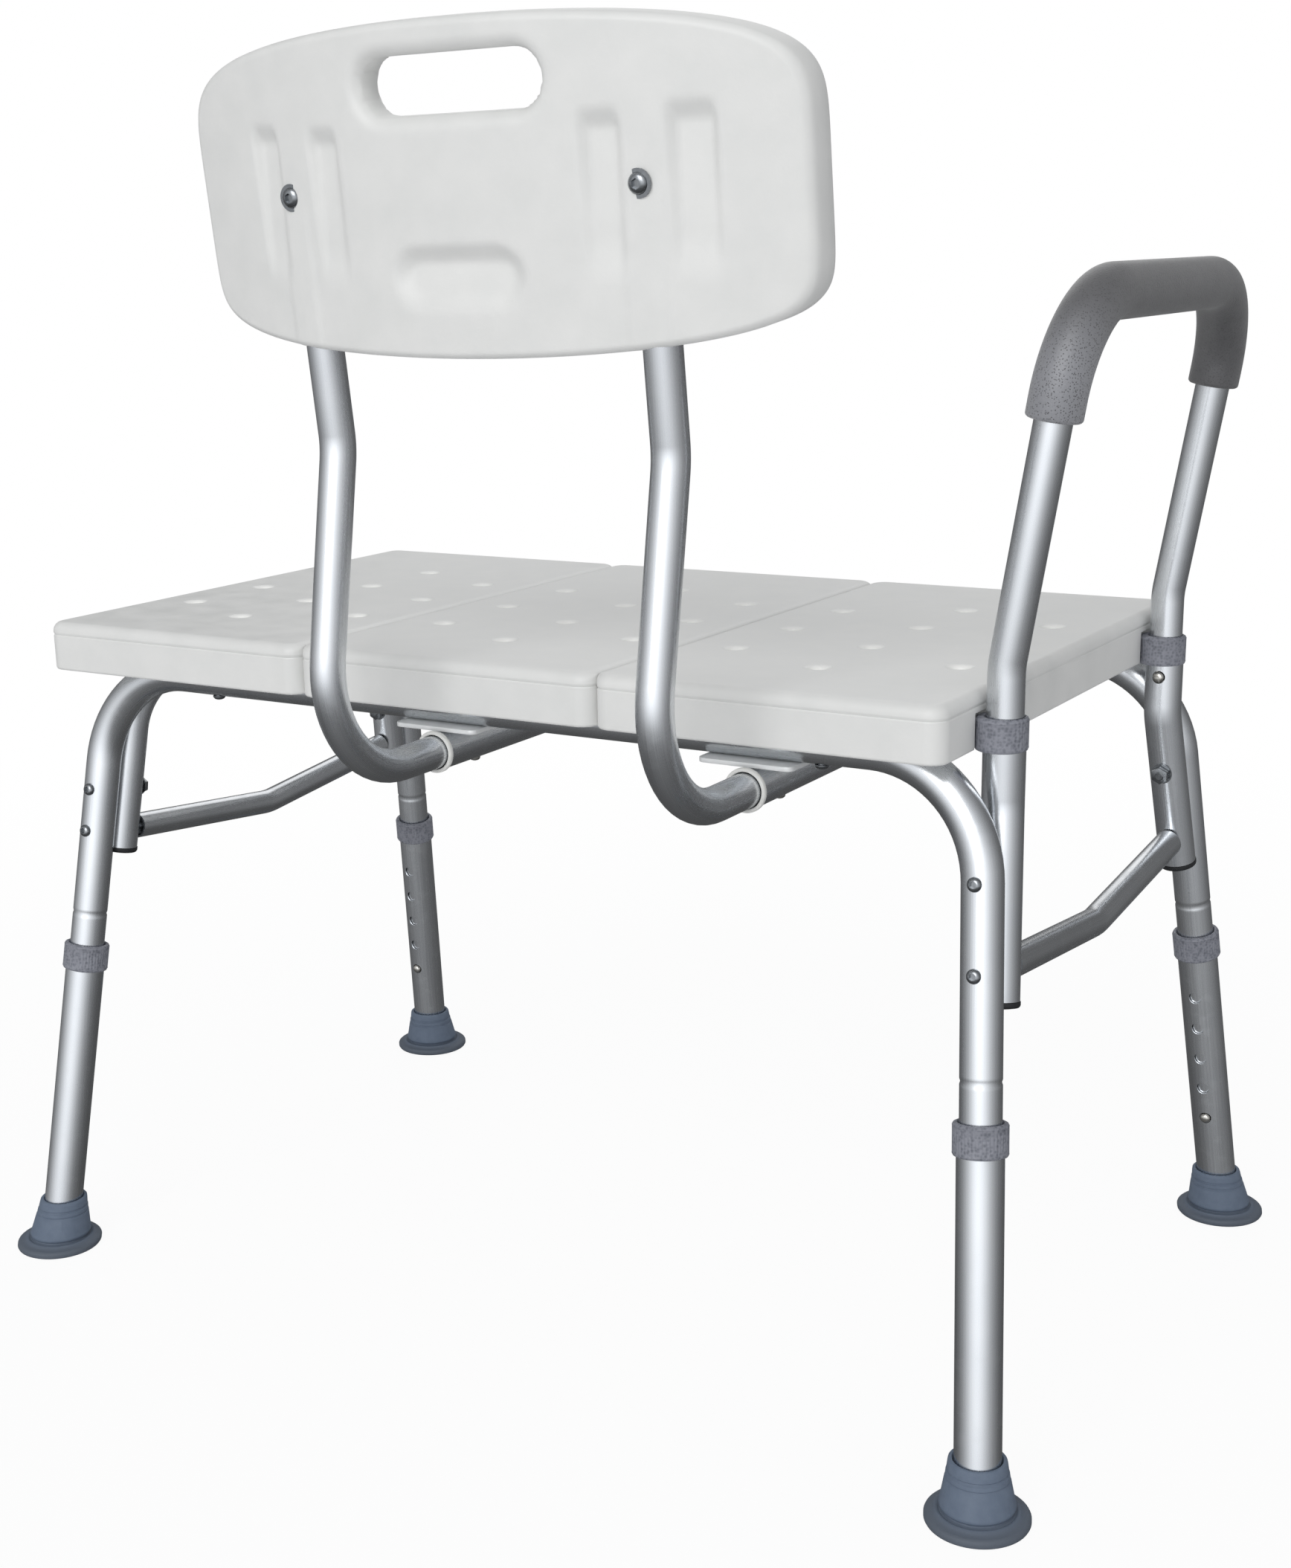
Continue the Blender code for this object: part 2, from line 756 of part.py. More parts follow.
def make_back_panel():
    """A turned disc with soft rims, squared off, more so below, then bent round the sitter's back."""
    half, soft = PANEL_THICKNESS / 2, 0.007
    profile = (
        (0.0, half),
        (0.40, half),
        (0.72, half),
        (0.955, half),
        (0.988, half - soft * 0.4),
        (1.0, half - soft),
        (1.0, soft - half),
        (0.988, soft * 0.4 - half),
        (0.955, -half),
        (0.72, -half),
        (0.40, -half),
        (0.0, -half),
    )
    mesh = turned_mesh(profile, 48)
    for vertex in mesh.vertices:
        spread = math.hypot(vertex.co.x, vertex.co.y)
        angle = math.atan2(vertex.co.y, vertex.co.x)
        square = PANEL_SQUARENESS_ABOVE if vertex.co.y > 0.0 else PANEL_SQUARENESS_BELOW
        across = math.copysign(abs(math.cos(angle)) ** (2 / square[0]), math.cos(angle))
        up = math.copysign(abs(math.sin(angle)) ** (2 / square[1]), math.sin(angle))
        x = spread * across * PANEL_HALF_WIDTH
        sag = x * x / (2 * PANEL_CURVE_RADIUS)
        vertex.co = (x, vertex.co.z - sag, spread * up * PANEL_HALF_HEIGHT)
    edit_mesh(mesh, lambda bm: bmesh.ops.recalc_face_normals(bm, faces=bm.faces))
    mesh.transform(panel_frame())
    panel = carry(white_plastic(add_object("back_panel", mesh)), backrest)
    slot_width, slot_height = SLOT_SIZE
    slot = rounded_block((slot_width, slot_height, 0.09), slot_height * 0.49, 5)
    slot.transform(Matrix.Rotation(math.pi / 2, 4, "X"))
    slot.transform(Matrix.Translation((SLOT_MIDDLE[0], 0.0, SLOT_MIDDLE[1] - PANEL_MIDDLE[1])))
    slot.transform(panel_frame())
    cut(panel, as_cutter("hand_slot", slot))
    rear = panel_frame().to_3x3() @ Vector((0.0, 1.0, 0.0))
    rise = Vector((0.0, UPRIGHT_TOP[0] - UPRIGHT_KINK[0], UPRIGHT_TOP[1] - UPRIGHT_KINK[1])).normalized()
    sockets, bolts = [], []
    for _, x in upright_places():
        top = Vector((x, *UPRIGHT_TOP))
        sockets.append((top - rise * 0.17, top + rise * 0.0015, ARM_TUBE + 0.0005))
        place = panel_bolt_place(x)
        bolts.append((place + rear * 0.01, place - rear * 0.006, BOLT_HOLE))
    drill(panel, sockets, 14)
    drill(panel, bolts)
    for name, x in upright_places():
        bolt = turned("back_bolt_" + name, bolt_profile(0.0145), 10)
        carry(aim_at(bright_steel(bolt), panel_bolt_place(x), rear), backrest)


def arm_leg_point(side, height):
    return Vector((RECEIVER_X - ARM_LEAN * max(0.0, height - ARM_BEND_HEIGHT), side * RECEIVER_Y, height))


def make_armrest():
    corners = [
        arm_leg_point(side, height)
        for side, height in (
            (1, ARM_TUBE_END),
            (1, ARM_BEND_HEIGHT),
            (1, ARM_TOP),
            (-1, ARM_TOP),
            (-1, ARM_BEND_HEIGHT),
            (-1, ARM_TUBE_END),
        )
    ]
    lower = bent_route(corners[:3], (0.069,), 2)
    top = bent_route(corners[1:5], (ARM_BEND, ARM_BEND))
    far = bent_route(corners[3:], (0.069,), 2)
    bar = tube("armrest_tube", lower[:-1] + top[1:-1] + far[1:], ARM_TUBE, ARM_WALL)
    carry(aluminium(bar), armrest)
    holes = []
    for _, side in SIDES:
        seat = arm_leg_point(side, ARM_BUTTON_HEIGHT)
        holes.append((seat, seat - Vector((0.0, side * 0.02, 0.0)), BUTTON_HOLE))
    drill(bar, holes)
    ends = [arm_leg_point(1, GRIP_START), *corners[2:4], arm_leg_point(-1, GRIP_START)]
    route = bent_route(ends, (ARM_BEND, ARM_BEND))
    foam = GRIP_RADIUS - ARM_TUBE - 2 * TOUCHING_GAP
    carry(grey_plastic(tube("armrest_grip", route, GRIP_RADIUS, foam)), armrest)


def drain_places(middle):
    """Where a seat panel's drain holes lie: three columns, the middle one staggered."""
    return [
        (middle + column * DRAIN_COLUMN, along)
        for column, rows in ((-1, DRAIN_ROWS_OUTER), (0, DRAIN_ROWS_MIDDLE), (1, DRAIN_ROWS_OUTER))
        for along in rows
    ]


def make_seat():
    pitch = (SEAT_END_PLAIN - SEAT_END_ARM) / 3
    height = SEAT_TOP - SEAT_BOTTOM
    for number, name in enumerate(("arm", "middle", "plain")):
        middle = SEAT_END_ARM + pitch * (number + 0.5)
        size = (pitch - 2 * TOUCHING_GAP, SEAT_DEPTH, height)
        mesh = rounded_block(size, SEAT_CORNER, 3, SEAT_EDGE, SEAT_LOW_EDGE)
        panel = add_object("seat_panel_" + name, mesh)
        panel.location = (middle, 0.0, (SEAT_TOP + SEAT_BOTTOM) / 2)
        carry(white_plastic(panel), bench)
        cut(panel, rail_groove("rail_groove_" + name))
        rise = Vector((0.0, 0.0, height))
        holes = []
        for across, along in drain_places(middle):
            place = Vector((across, along, (SEAT_TOP + SEAT_BOTTOM) / 2))
            holes.append((place - rise, place + rise, DRAIN_HOLE))
        for end in (1, -1):
            for _, side in SIDES:
                place = leg_point(end, side, RAIL_HEIGHT)
                place.x = end * SEAT_BOLT_X
                if abs(place.x - middle) < pitch / 2:
                    holes.append((place, Vector((place.x, place.y, SEAT_BOLT_TOP + 0.001)), BOLT_HOLE))
        drill(panel, holes)
        if name == "arm":
            notches = []
            for _, side in SIDES:
                collar = Vector((RECEIVER_X + ARM_COLLAR_OFFSET, side * RECEIVER_Y, SEAT_TOP))
                notches.append((collar - rise, collar + rise, ARM_COLLAR_RADIUS + 0.0012))
            drill(panel, notches, 24)


def rail_groove(name):
    """A cutter that leaves room for both rails in the underside of a seat panel."""
    bm = bmesh.new()
    for _, side in SIDES:
        corners = [
            leg_point(end, side, height)
            for end, height in ((1, 0.36), (1, RAIL_HEIGHT), (-1, RAIL_HEIGHT), (-1, 0.36))
        ]
        radius = FRAME_TUBE / math.cos(math.pi / 14) + TOUCHING_GAP
        skin = swept_mesh(bent_route(corners, (RAIL_BEND, RAIL_BEND)), radius, 14, True)
        bm.from_mesh(skin)
    mesh = bpy.data.meshes.new(name)
    bm.to_mesh(mesh)
    bm.free()
    return as_cutter(name, mesh)


def make_seat_bolts():
    length = SEAT_BOLT_TOP - (RAIL_HEIGHT - FRAME_TUBE)
    for end_name, end in ENDS:
        for side_name, side in SIDES:
            place = leg_point(end, side, RAIL_HEIGHT)
            place.x = end * SEAT_BOLT_X
            place.z -= FRAME_TUBE
            bolt = turned(f"seat_bolt_{end_name}_{side_name}", bolt_profile(length), 8)
            carry(aim_at(bright_steel(bolt), place, (0.0, 0.0, -1.0)), bench)


make_leg_frames()
make_end_frame()
make_receivers()
make_braces()
make_corner_bolts()
make_legs()
make_back_receivers()
make_uprights()
make_back_panel()
make_armrest()
make_seat()
make_seat_bolts()
make_buttons()
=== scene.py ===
"""Tub transfer bench, finished for close viewing. Metres; the floor is at zero height."""

import math

import bmesh
import bpy
from mathutils import Matrix, Vector


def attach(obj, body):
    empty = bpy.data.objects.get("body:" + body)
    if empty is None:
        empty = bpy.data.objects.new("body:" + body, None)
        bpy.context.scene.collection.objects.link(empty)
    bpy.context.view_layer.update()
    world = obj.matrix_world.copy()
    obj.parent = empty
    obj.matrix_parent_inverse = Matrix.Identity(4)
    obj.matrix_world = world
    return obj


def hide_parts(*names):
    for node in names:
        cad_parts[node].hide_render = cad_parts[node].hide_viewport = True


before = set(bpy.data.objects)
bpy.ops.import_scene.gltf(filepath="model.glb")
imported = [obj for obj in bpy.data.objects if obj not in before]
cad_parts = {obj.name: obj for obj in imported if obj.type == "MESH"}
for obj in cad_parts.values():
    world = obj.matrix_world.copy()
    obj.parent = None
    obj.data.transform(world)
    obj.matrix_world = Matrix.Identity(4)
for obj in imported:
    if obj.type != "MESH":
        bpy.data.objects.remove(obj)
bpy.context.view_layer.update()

# ---- camera, floor and light
# A small photographic studio: the camera stands behind the bench at its armrest end, a little above
# seat height. One large softbox lights the bench from behind it and above, and pale walls fill in.
BENCH_SHIFT = -0.0273
BENCH_HEART = Vector((0.0, 0.0, 0.40))
PHOTO_FOCAL, PHOTO_HEIGHT = 2898.4, 2109
CAMERA_TURN, CAMERA_DIP, CAMERA_ROLL = 0.5672, 0.2686, 0.0247


def placed(name, data):
    """A new object in the scene."""
    made = bpy.data.objects.new(name, data)
    bpy.context.scene.collection.objects.link(made)
    return made


camera = bpy.data.cameras.new("camera")
camera.lens = 36.0 * PHOTO_FOCAL / PHOTO_HEIGHT
camera.shift_x = 0.0355
camera.shift_y = 0.0363
camera.clip_end = 60.0
viewer = placed("camera", camera)
viewer.matrix_world = (
    Matrix.Translation((-0.8007, 1.3169 + BENCH_SHIFT, 0.7360))
    @ Matrix.Rotation(math.radians(180) + CAMERA_TURN, 4, "Z")
    @ Matrix.Rotation(math.radians(90) - CAMERA_DIP, 4, "X")
    @ Matrix.Rotation(-CAMERA_ROLL, 4, "Z")
)
bpy.context.scene.camera = viewer
bpy.context.scene.view_settings.view_transform = "Standard"


def srgb(code):
    """A colour as a chart writes it, turned to linear light."""
    shares = [int(code[place : place + 2], 16) / 255 for place in (1, 3, 5)]
    linear = [share / 12.92 if share <= 0.04045 else ((share + 0.055) / 1.055) ** 2.4 for share in shares]
    return (*linear, 1.0)


def node(tree, kind, inputs=None, **settings):
    """Adds a shader node and gives its outputs. Its inputs are plain values, colour codes or sockets."""
    made = tree.nodes.new("ShaderNode" + kind)
    for option, value in settings.items():
        setattr(made, option, value)
    for socket, value in (inputs or {}).items():
        if isinstance(value, bpy.types.NodeSocket):
            tree.links.new(value, made.inputs[socket])
        else:
            made.inputs[socket].default_value = srgb(value) if isinstance(value, str) else value
    return made.outputs


def bare_tree(owner):
    """The emptied node tree of a world or a material."""
    owner.use_nodes = True
    owner.node_tree.nodes.clear()
    return owner.node_tree


world = bpy.data.worlds.new("studio_walls")
bpy.context.scene.world = world
walls = bare_tree(world)
toward_key = Vector((-0.242, 0.970, 0.0))
gaze = node(walls, "TexCoord")["Generated"]
facing = node(walls, "VectorMath", {0: gaze, 1: toward_key}, operation="DOT_PRODUCT")["Value"]
lit_side = node(walls, "MapRange", {0: facing, 1: -1.0, 2: 1.0})[0]
wide_lobe = node(walls, "Math", {0: lit_side, 1: 1.6}, operation="POWER")[0]
close_lobe = node(walls, "Math", {0: lit_side, 1: 6.0}, operation="POWER")[0]
wide_wall = node(walls, "Math", {0: wide_lobe, 1: 0.80, 2: 0.07}, operation="MULTIPLY_ADD")[0]
lit_wall = node(walls, "Math", {0: close_lobe, 1: 0.85, 2: wide_wall}, operation="MULTIPLY_ADD")[0]
gaze_height = node(walls, "SeparateXYZ", {0: gaze})["Z"]
floor_range = {0: gaze_height, 1: -0.60, 2: 0.0, 3: 0.16, 4: 1.0}
dark_floor = node(walls, "MapRange", floor_range, interpolation_type="SMOOTHSTEP")[0]
mirrored = node(walls, "Math", {0: lit_wall, 1: dark_floor}, operation="MULTIPLY")[0]
ray = node(walls, "LightPath")
slant = node(walls, "VectorMath", {0: gaze, 1: (-0.10, 0.0, 0.17)}, operation="DOT_PRODUCT")["Value"]
spread = node(walls, "Math", {0: slant, 1: 0.455}, operation="ADD")[0]
soft_wall = node(walls, "Background", {"Color": "#f6f7f9", "Strength": spread})[0]
seen_in_metal = node(walls, "Background", {"Color": "#f6f8fb", "Strength": mirrored})[0]
white_back = node(walls, "Background", {"Color": "#ffffff", "Strength": 1.0})[0]
glossy = node(walls, "MixShader", {0: ray["Is Glossy Ray"], 1: soft_wall, 2: seen_in_metal})[0]
back_in_metal = node(walls, "Math", {0: ray["Is Glossy Ray"], 1: 0.07}, operation="MULTIPLY")[0]
straight_view = {0: ray["Is Camera Ray"], 1: ray["Is Transmission Ray"]}
clear_view = node(walls, "Math", straight_view, operation="MAXIMUM")[0]
white_share = node(walls, "Math", {0: clear_view, 1: back_in_metal}, operation="MAXIMUM")[0]
everything = node(walls, "MixShader", {0: white_share, 1: glossy, 2: white_back})[0]
node(walls, "OutputWorld", {"Surface": everything})


def along_axis(place, direction, up="Y"):
    """The turn and move that stand a shape at a place, its Z axis along a direction."""
    return Matrix.Translation(place) @ Vector(direction).to_track_quat("Z", up).to_matrix().to_4x4()


def softbox(name, direction, distance, size, power):
    """A square softbox that looks at the middle of the bench."""
    light = bpy.data.lights.new(name, "AREA")
    light.shape = "SQUARE"
    light.size = size
    light.energy = power
    away = Vector(direction).normalized() * distance
    placed(name, light).matrix_world = along_axis(BENCH_HEART + away, away)


softbox("key_softbox", (-0.135, 0.84, 0.52), 6.0, 3.9, 164.0)
softbox("front_softbox", (0.35, -0.80, 0.55), 3.0, 2.0, 14.0)


def as_mesh(name, shape):
    """The mesh of a shape in the making. A mesh stays what it is."""
    if isinstance(shape, bpy.types.Mesh):
        return shape
    mesh = bpy.data.meshes.new(name)
    shape.to_mesh(mesh)
    shape.free()
    return mesh


floor_shape = bmesh.new()
bmesh.ops.create_circle(floor_shape, cap_ends=True, segments=96, radius=6.0)
floor = placed("studio_floor", as_mesh("studio_floor", floor_shape))
floor.location.z = -0.0005
floor.visible_glossy = False
floor_paint = bpy.data.materials.new("pale_floor_paint")
paint = bare_tree(floor_paint)
on_camera = node(paint, "LightPath")["Is Camera Ray"]
matt_floor = node(paint, "BsdfDiffuse", {"Color": "#e9e9ea"})[0]
floor_glow = node(paint, "Emission", {"Color": "#ffffff", "Strength": on_camera})[0]
across_floor = node(paint, "TexCoord")["Object"]
far_out = node(paint, "VectorMath", {0: across_floor}, operation="LENGTH")["Value"]
glow_range = {0: far_out, 1: 0.4, 2: 2.0, 3: 0.935, 4: 1.0}
glow_share = node(paint, "MapRange", glow_range, interpolation_type="SMOOTHSTEP")[0]
dim_glow = node(paint, "MixShader", {0: glow_share, 1: matt_floor, 2: floor_glow})[0]
seen_floor = node(paint, "MixShader", {0: on_camera, 1: matt_floor, 2: dim_glow})[0]
node(paint, "OutputMaterial", {"Surface": seen_floor})
floor.data.materials.append(floor_paint)

# ---- rear and front leg frames
# Two long inverted U's of 25.4 mm drawn aluminium tube, 1.6 mm wall, anodised to a satin silver. Each is
# bent twice on a mandrel and is both the rail under the seat and two legs; a rolled groove marks each leg.
SIDES = (("rear", 1), ("front", -1))
ENDS = (("plain", 1), ("arm", -1))
LEG_SPREAD = (0.380, 0.2455)
LEAN = (0.0824, 0.1612)
RAIL_HEIGHT = 0.4450
RAIL_BEND = 0.077
FRAME_TUBE = 0.0127
FRAME_WALL = 0.0016
LEG_TUBE_END = 0.065
LEG_GROOVE_HEIGHT = 0.2605
LEG_GROOVE_WIDTH = 0.0019
LEG_GROOVE_DEPTH = 0.0006
LOWEST_HOLE = 0.088
BUTTON_HOLE = 0.0045
BUTTON_DRILL = 0.020
BOLT_HOLE = 0.0034
END_BOLTS = {1: (0.354, 0.323), -1: (0.3755, 0.323)}
BOLT_DRILL_PROUD = 0.005
BOLT_DRILL_LEG = 0.0308
SEAT_BOLT_X = 0.240
SEAT_BOLT_DRILL = Vector((0.0, 0.0, 0.020))
INNER_TUBE_OFFSET = 0.0259


def leg_point(end, side, height, inset=0.0):
    """A point on a leg's axis, or on the line that lies inset from it towards the middle."""
    across = LEG_SPREAD[1] - LEAN[1] * height - inset
    return Vector((end * (LEG_SPREAD[0] - LEAN[0] * height), side * across, height))


def leg_down(end, side):
    return (leg_point(end, side, 0.0) - leg_point(end, side, 1.0)).normalized()


def leg_outward(side):
    """Square to the leg, away from the bench's middle."""
    return Vector((0.0, side, LEAN[1])).normalized()


def rail_route(side, low):
    """A leg frame's corners: from a height up one leg, along the rail and down the other leg."""
    levels = ((1, low), (1, RAIL_HEIGHT), (-1, RAIL_HEIGHT), (-1, low))
    return [leg_point(end, side, height) for end, height in levels]


def grown_part(grown, kind):
    return [part for part in grown["geom"] if isinstance(part, kind)]


def drawn_tube(corners, bends, radius, wall, grooves=(), sides=48, bend_steps=14):
    """A tube drawn along straight runs and bends, or a solid bar where it has no wall.

    Its UV lies on the skin, as a share of a turn round it and metres along it."""
    corners = [Vector(corner) for corner in corners]
    runs = [corner - before for before, corner in zip(corners, corners[1:])]
    turns = [before.angle(after) for before, after in zip(runs, runs[1:])]
    cuts = [bend * math.tan(turn / 2) for bend, turn in zip(bends, turns)]
    straights = [run.length - start - end for run, start, end in zip(runs, [0.0] + cuts, cuts + [0.0])]
    whole = sum(straights) + sum(bend * turn for bend, turn in zip(bends, turns))
    marks = sorted(
        (place + offset * width, 1.0 - factor)
        for groove, width, depth in grooves
        for place in (groove, whole - groove)
        for offset, factor in ((-2.0, 0.0), (-1.0, 0.0), (0.0, depth / radius), (1.0, 0.0), (2.0, 0.0))
    )
    bm = bmesh.new()
    along = bm.verts.layers.float.new("along")
    around = bm.verts.layers.float.new("around")
    place, heading, travelled, girth = corners[0], runs[0].normalized(), 0.0, 1.0
    bmesh.ops.create_circle(bm, segments=sides, radius=radius, matrix=along_axis(place, heading, "X"))
    for number, vertex in enumerate(bm.verts):
        vertex[around] = number / sides
    ring = list(bm.edges)

    def carry_on(move, centre, length, factor):
        nonlocal ring, travelled, girth
        grown = bmesh.ops.extrude_edge_only(bm, edges=ring)
        fresh = grown_part(grown, bmesh.types.BMVert)
        ring = grown_part(grown, bmesh.types.BMEdge)
        bmesh.ops.transform(bm, matrix=move, verts=fresh)
        stretch = factor / girth
        bmesh.ops.scale(bm, vec=(stretch,) * 3, space=Matrix.Translation(-centre), verts=fresh)
        travelled += length
        girth = factor
        for vertex in fresh:
            vertex[along] = travelled

    for number, straight in enumerate(straights):
        stops = [mark for mark in marks if travelled < mark[0] < travelled + straight]
        for stop, factor in stops + [(travelled + straight, 1.0)]:
            step = stop - travelled
            place = place + heading * step
            carry_on(Matrix.Translation(heading * step), place, step, factor)
        if number < len(turns):
            onward = runs[number + 1].normalized()
            axis = heading.cross(onward).normalized()
            centre = place + axis.cross(heading).normalized() * bends[number]
            turn = Matrix.Rotation(turns[number] / bend_steps, 4, axis)
            swing = Matrix.Translation(centre) @ turn @ Matrix.Translation(-centre)
            for _ in range(bend_steps):
                place = swing @ place
                carry_on(swing, place, bends[number] * turns[number] / bend_steps, 1.0)
            heading = onward
    bmesh.ops.recalc_face_normals(bm, faces=bm.faces)
    skin = bm.loops.layers.uv.new("skin")
    for face in bm.faces:
        highest = max(vertex[around] for vertex in face.verts)
        for loop in face.loops:
            share = loop.vert[around]
            loop[skin].uv = (share + (highest - share > 0.5), loop.vert[along])
    if wall > 0.0:
        bmesh.ops.solidify(bm, geom=list(bm.faces), thickness=wall)
    else:
        bmesh.ops.holes_fill(bm, edges=[edge for edge in bm.edges if edge.is_boundary])
        bmesh.ops.recalc_face_normals(bm, faces=bm.faces)
    return bm


def carved(shape, tool_shape):
    """The shape's mesh with a closed tool shape taken from it."""
    blank = placed("blank", as_mesh("blank", shape))
    tool = placed("tool", as_mesh("tool", tool_shape))
    cut = blank.modifiers.new("cut", "BOOLEAN")
    cut.operation = "DIFFERENCE"
    cut.object = tool
    bpy.context.view_layer.update()
    result = bpy.data.meshes.new_from_object(blank.evaluated_get(bpy.context.evaluated_depsgraph_get()))
    for used in (blank, tool):
        bpy.data.objects.remove(used, do_unlink=True)
    return result


def merged(shapes):
    """Several shapes as one."""
    whole = bmesh.new()
    for shape in shapes:
        whole.from_mesh(as_mesh("part", shape))
    return whole


def prism(sides, low_radius, high_radius, length, place):
    """A straight or slightly tapered bar with flat ends, centred on its place."""
    bm = bmesh.new()
    size = {"radius1": low_radius, "radius2": high_radius, "depth": length}
    bmesh.ops.create_cone(bm, cap_ends=True, segments=sides, matrix=place, **size)
    return bm


def bored(shape, holes):
    """The shape's mesh with round holes through it. Each hole is its two ends, its radius and its sides."""
    drills = []
    for start, end, radius, sides in holes:
        place = along_axis((start + end) / 2, end - start, "X")
        drills.append(prism(sides, radius, radius, (end - start).length, place))
    return carved(shape, merged(drills))


def button_hole(seat, out, sides=32):
    """The drill for a snap button's hole: from the tube's axis out through one wall."""
    return seat, seat + Vector(out) * BUTTON_DRILL, BUTTON_HOLE, sides


def fit(name, shape, finish, place=Matrix(), body="frame", extra=False, sharp=38.0):
    """Puts a finished piece on the bench, in its finish and on its body.

    Its name is its CAD node's with the way it was made, and it replaces that node unless it is extra."""
    material, slot = finish
    mesh = as_mesh(name, shape)
    mesh.transform(Matrix.Translation((0.0, BENCH_SHIFT, 0.0)) @ place)
    mesh.materials.clear()
    mesh.materials.append(material)
    mesh.shade_smooth()
    mesh.set_sharp_from_angle(angle=math.radians(sharp))
    piece = placed(name, mesh)
    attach(piece, body)
    if not extra:
        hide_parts(name.rpartition("_")[0])
    return piece


def new_finish(name, slot, *patterns):
    """A finish, which is a material and its CAD slot, with what draws it.

    That is its tree, its Object coordinates and a noise for each pattern, given by its size and detail."""
    made = bpy.data.materials.new(name)
    tree = bare_tree(made)
    in_place = node(tree, "TexCoord")["Object"]
    noises = []
    for size, detail in patterns:
        noises.append(node(tree, "TexNoise", {"Vector": in_place, "Scale": 1 / size, "Detail": detail})[0])
    return (made, slot), tree, in_place, *noises


# Satin anodised aluminium. Drawing leaves fine lines along the tube, which the anodising dulls: the eye sees
# a soft bright band with a faint grain that runs lengthwise. The lines are drawn at 0.9 mm so that they show.
patterns = (0.055, 2.0), (0.012, 5.0)
anodised_aluminium, tree, _, cloud, handled = new_finish("satin_anodised_aluminium", "aluminium", *patterns)
on_skin = node(tree, "SeparateXYZ", {0: node(tree, "UVMap", uv_map="skin")["UV"]})
turn = node(tree, "Math", {0: on_skin["X"], 1: math.tau}, operation="MULTIPLY")[0]
east = node(tree, "Math", {0: turn}, operation="COSINE")[0]
north = node(tree, "Math", {0: turn}, operation="SINE")[0]
rolled = node(tree, "CombineXYZ", {0: east, 1: north, 2: on_skin["Y"]})[0]
across_lines = FRAME_TUBE / 0.0009
drawn = node(tree, "Mapping", {"Vector": rolled, "Scale": (across_lines, across_lines, 1 / 0.070)})[0]
lines = node(tree, "TexNoise", {"Vector": drawn, "Scale": 1.0, "Detail": 3.0})[0]
tone = node(tree, "Mix", {0: cloud, 6: "#d2d5d9", 7: "#e2e4e6"}, data_type="RGBA")[2]
streak = node(tree, "MapRange", {0: lines, 1: 0.35, 2: 0.65, 3: 0.90, 4: 1.0})[0]
toned = node(tree, "Mix", {0: streak, 6: "#bfc3c7", 7: tone}, data_type="RGBA")[2]
grain = node(tree, "MapRange", {0: lines, 1: 0.3, 2: 0.7, 3: 0.23, 4: 0.31})[0]
smears = node(tree, "MapRange", {0: handled, 1: 0.55, 2: 0.75, 3: 0.0, 4: 0.07})[0]
dulled = node(tree, "Math", {0: grain, 1: smears}, operation="ADD")[0]
relief = node(tree, "Bump", {"Height": lines, "Strength": 0.05, "Distance": 0.00010})[0]
surface = {"Base Color": toned, "Roughness": dulled, "Metallic": 1.0, "Normal": relief}
node(tree, "OutputMaterial", {0: node(tree, "BsdfPrincipled", surface)[0]})

# The armrest's receivers lean in with the legs below their bend, so the bolts there are longer
RECEIVER = (-0.346, 0.149)
RECEIVER_BEND_HEIGHT = 0.412
RECEIVER_FOOT = 0.300


def receiver_axis(side, height):
    """A point on the axis of a receiver's upright top."""
    return Vector((RECEIVER[0], side * RECEIVER[1], height))


def receiver_point(side, height):
    """A point on the lower, leaning run of an armrest receiver."""
    low = leg_point(-1, side, RECEIVER_FOOT, INNER_TUBE_OFFSET)
    share = (RECEIVER_BEND_HEIGHT - height) / (RECEIVER_BEND_HEIGHT - RECEIVER_FOOT)
    return receiver_axis(side, RECEIVER_BEND_HEIGHT).lerp(low, share)


def bolt_stack(end, side, height):
    """Where a corner bolt's head sits, the way it faces, and how far it goes in to its nut."""
    outward = leg_outward(side)
    gap = INNER_TUBE_OFFSET
    if end < 0:
        gap = (leg_point(-1, 1, height) - receiver_point(1, height)).dot(leg_outward(1))
    return leg_point(end, side, height) + outward * FRAME_TUBE, outward, FRAME_TUBE * 2 + gap


leg_scale = math.sqrt(1.0 + LEAN[0] ** 2 + LEAN[1] ** 2)
groove = ((LEG_GROOVE_HEIGHT - LEG_TUBE_END) * leg_scale, LEG_GROOVE_WIDTH, LEG_GROOVE_DEPTH)
for name, side in SIDES:
    route = rail_route(side, LEG_TUBE_END)
    tube = drawn_tube(route, (RAIL_BEND, RAIL_BEND), FRAME_TUBE, FRAME_WALL, (groove,), bend_steps=18)
    holes = []
    for end, heights in END_BOLTS.items():
        for height in heights:
            head, outward, _ = bolt_stack(end, side, height)
            near, far = head + outward * BOLT_DRILL_PROUD, head - outward * BOLT_DRILL_LEG
            holes.append((near, far, BOLT_HOLE, 24))
        holes.append(button_hole(leg_point(end, side, LOWEST_HOLE), -leg_outward(side), 24))
        under_seat = leg_point(end, side, RAIL_HEIGHT)
        under_seat.x = end * SEAT_BOLT_X
        holes.append((under_seat - SEAT_BOLT_DRILL, under_seat + SEAT_BOLT_DRILL, BOLT_HOLE, 24))
    fit(name + "_leg_frame_drawn", bored(tube, holes), anodised_aluminium)

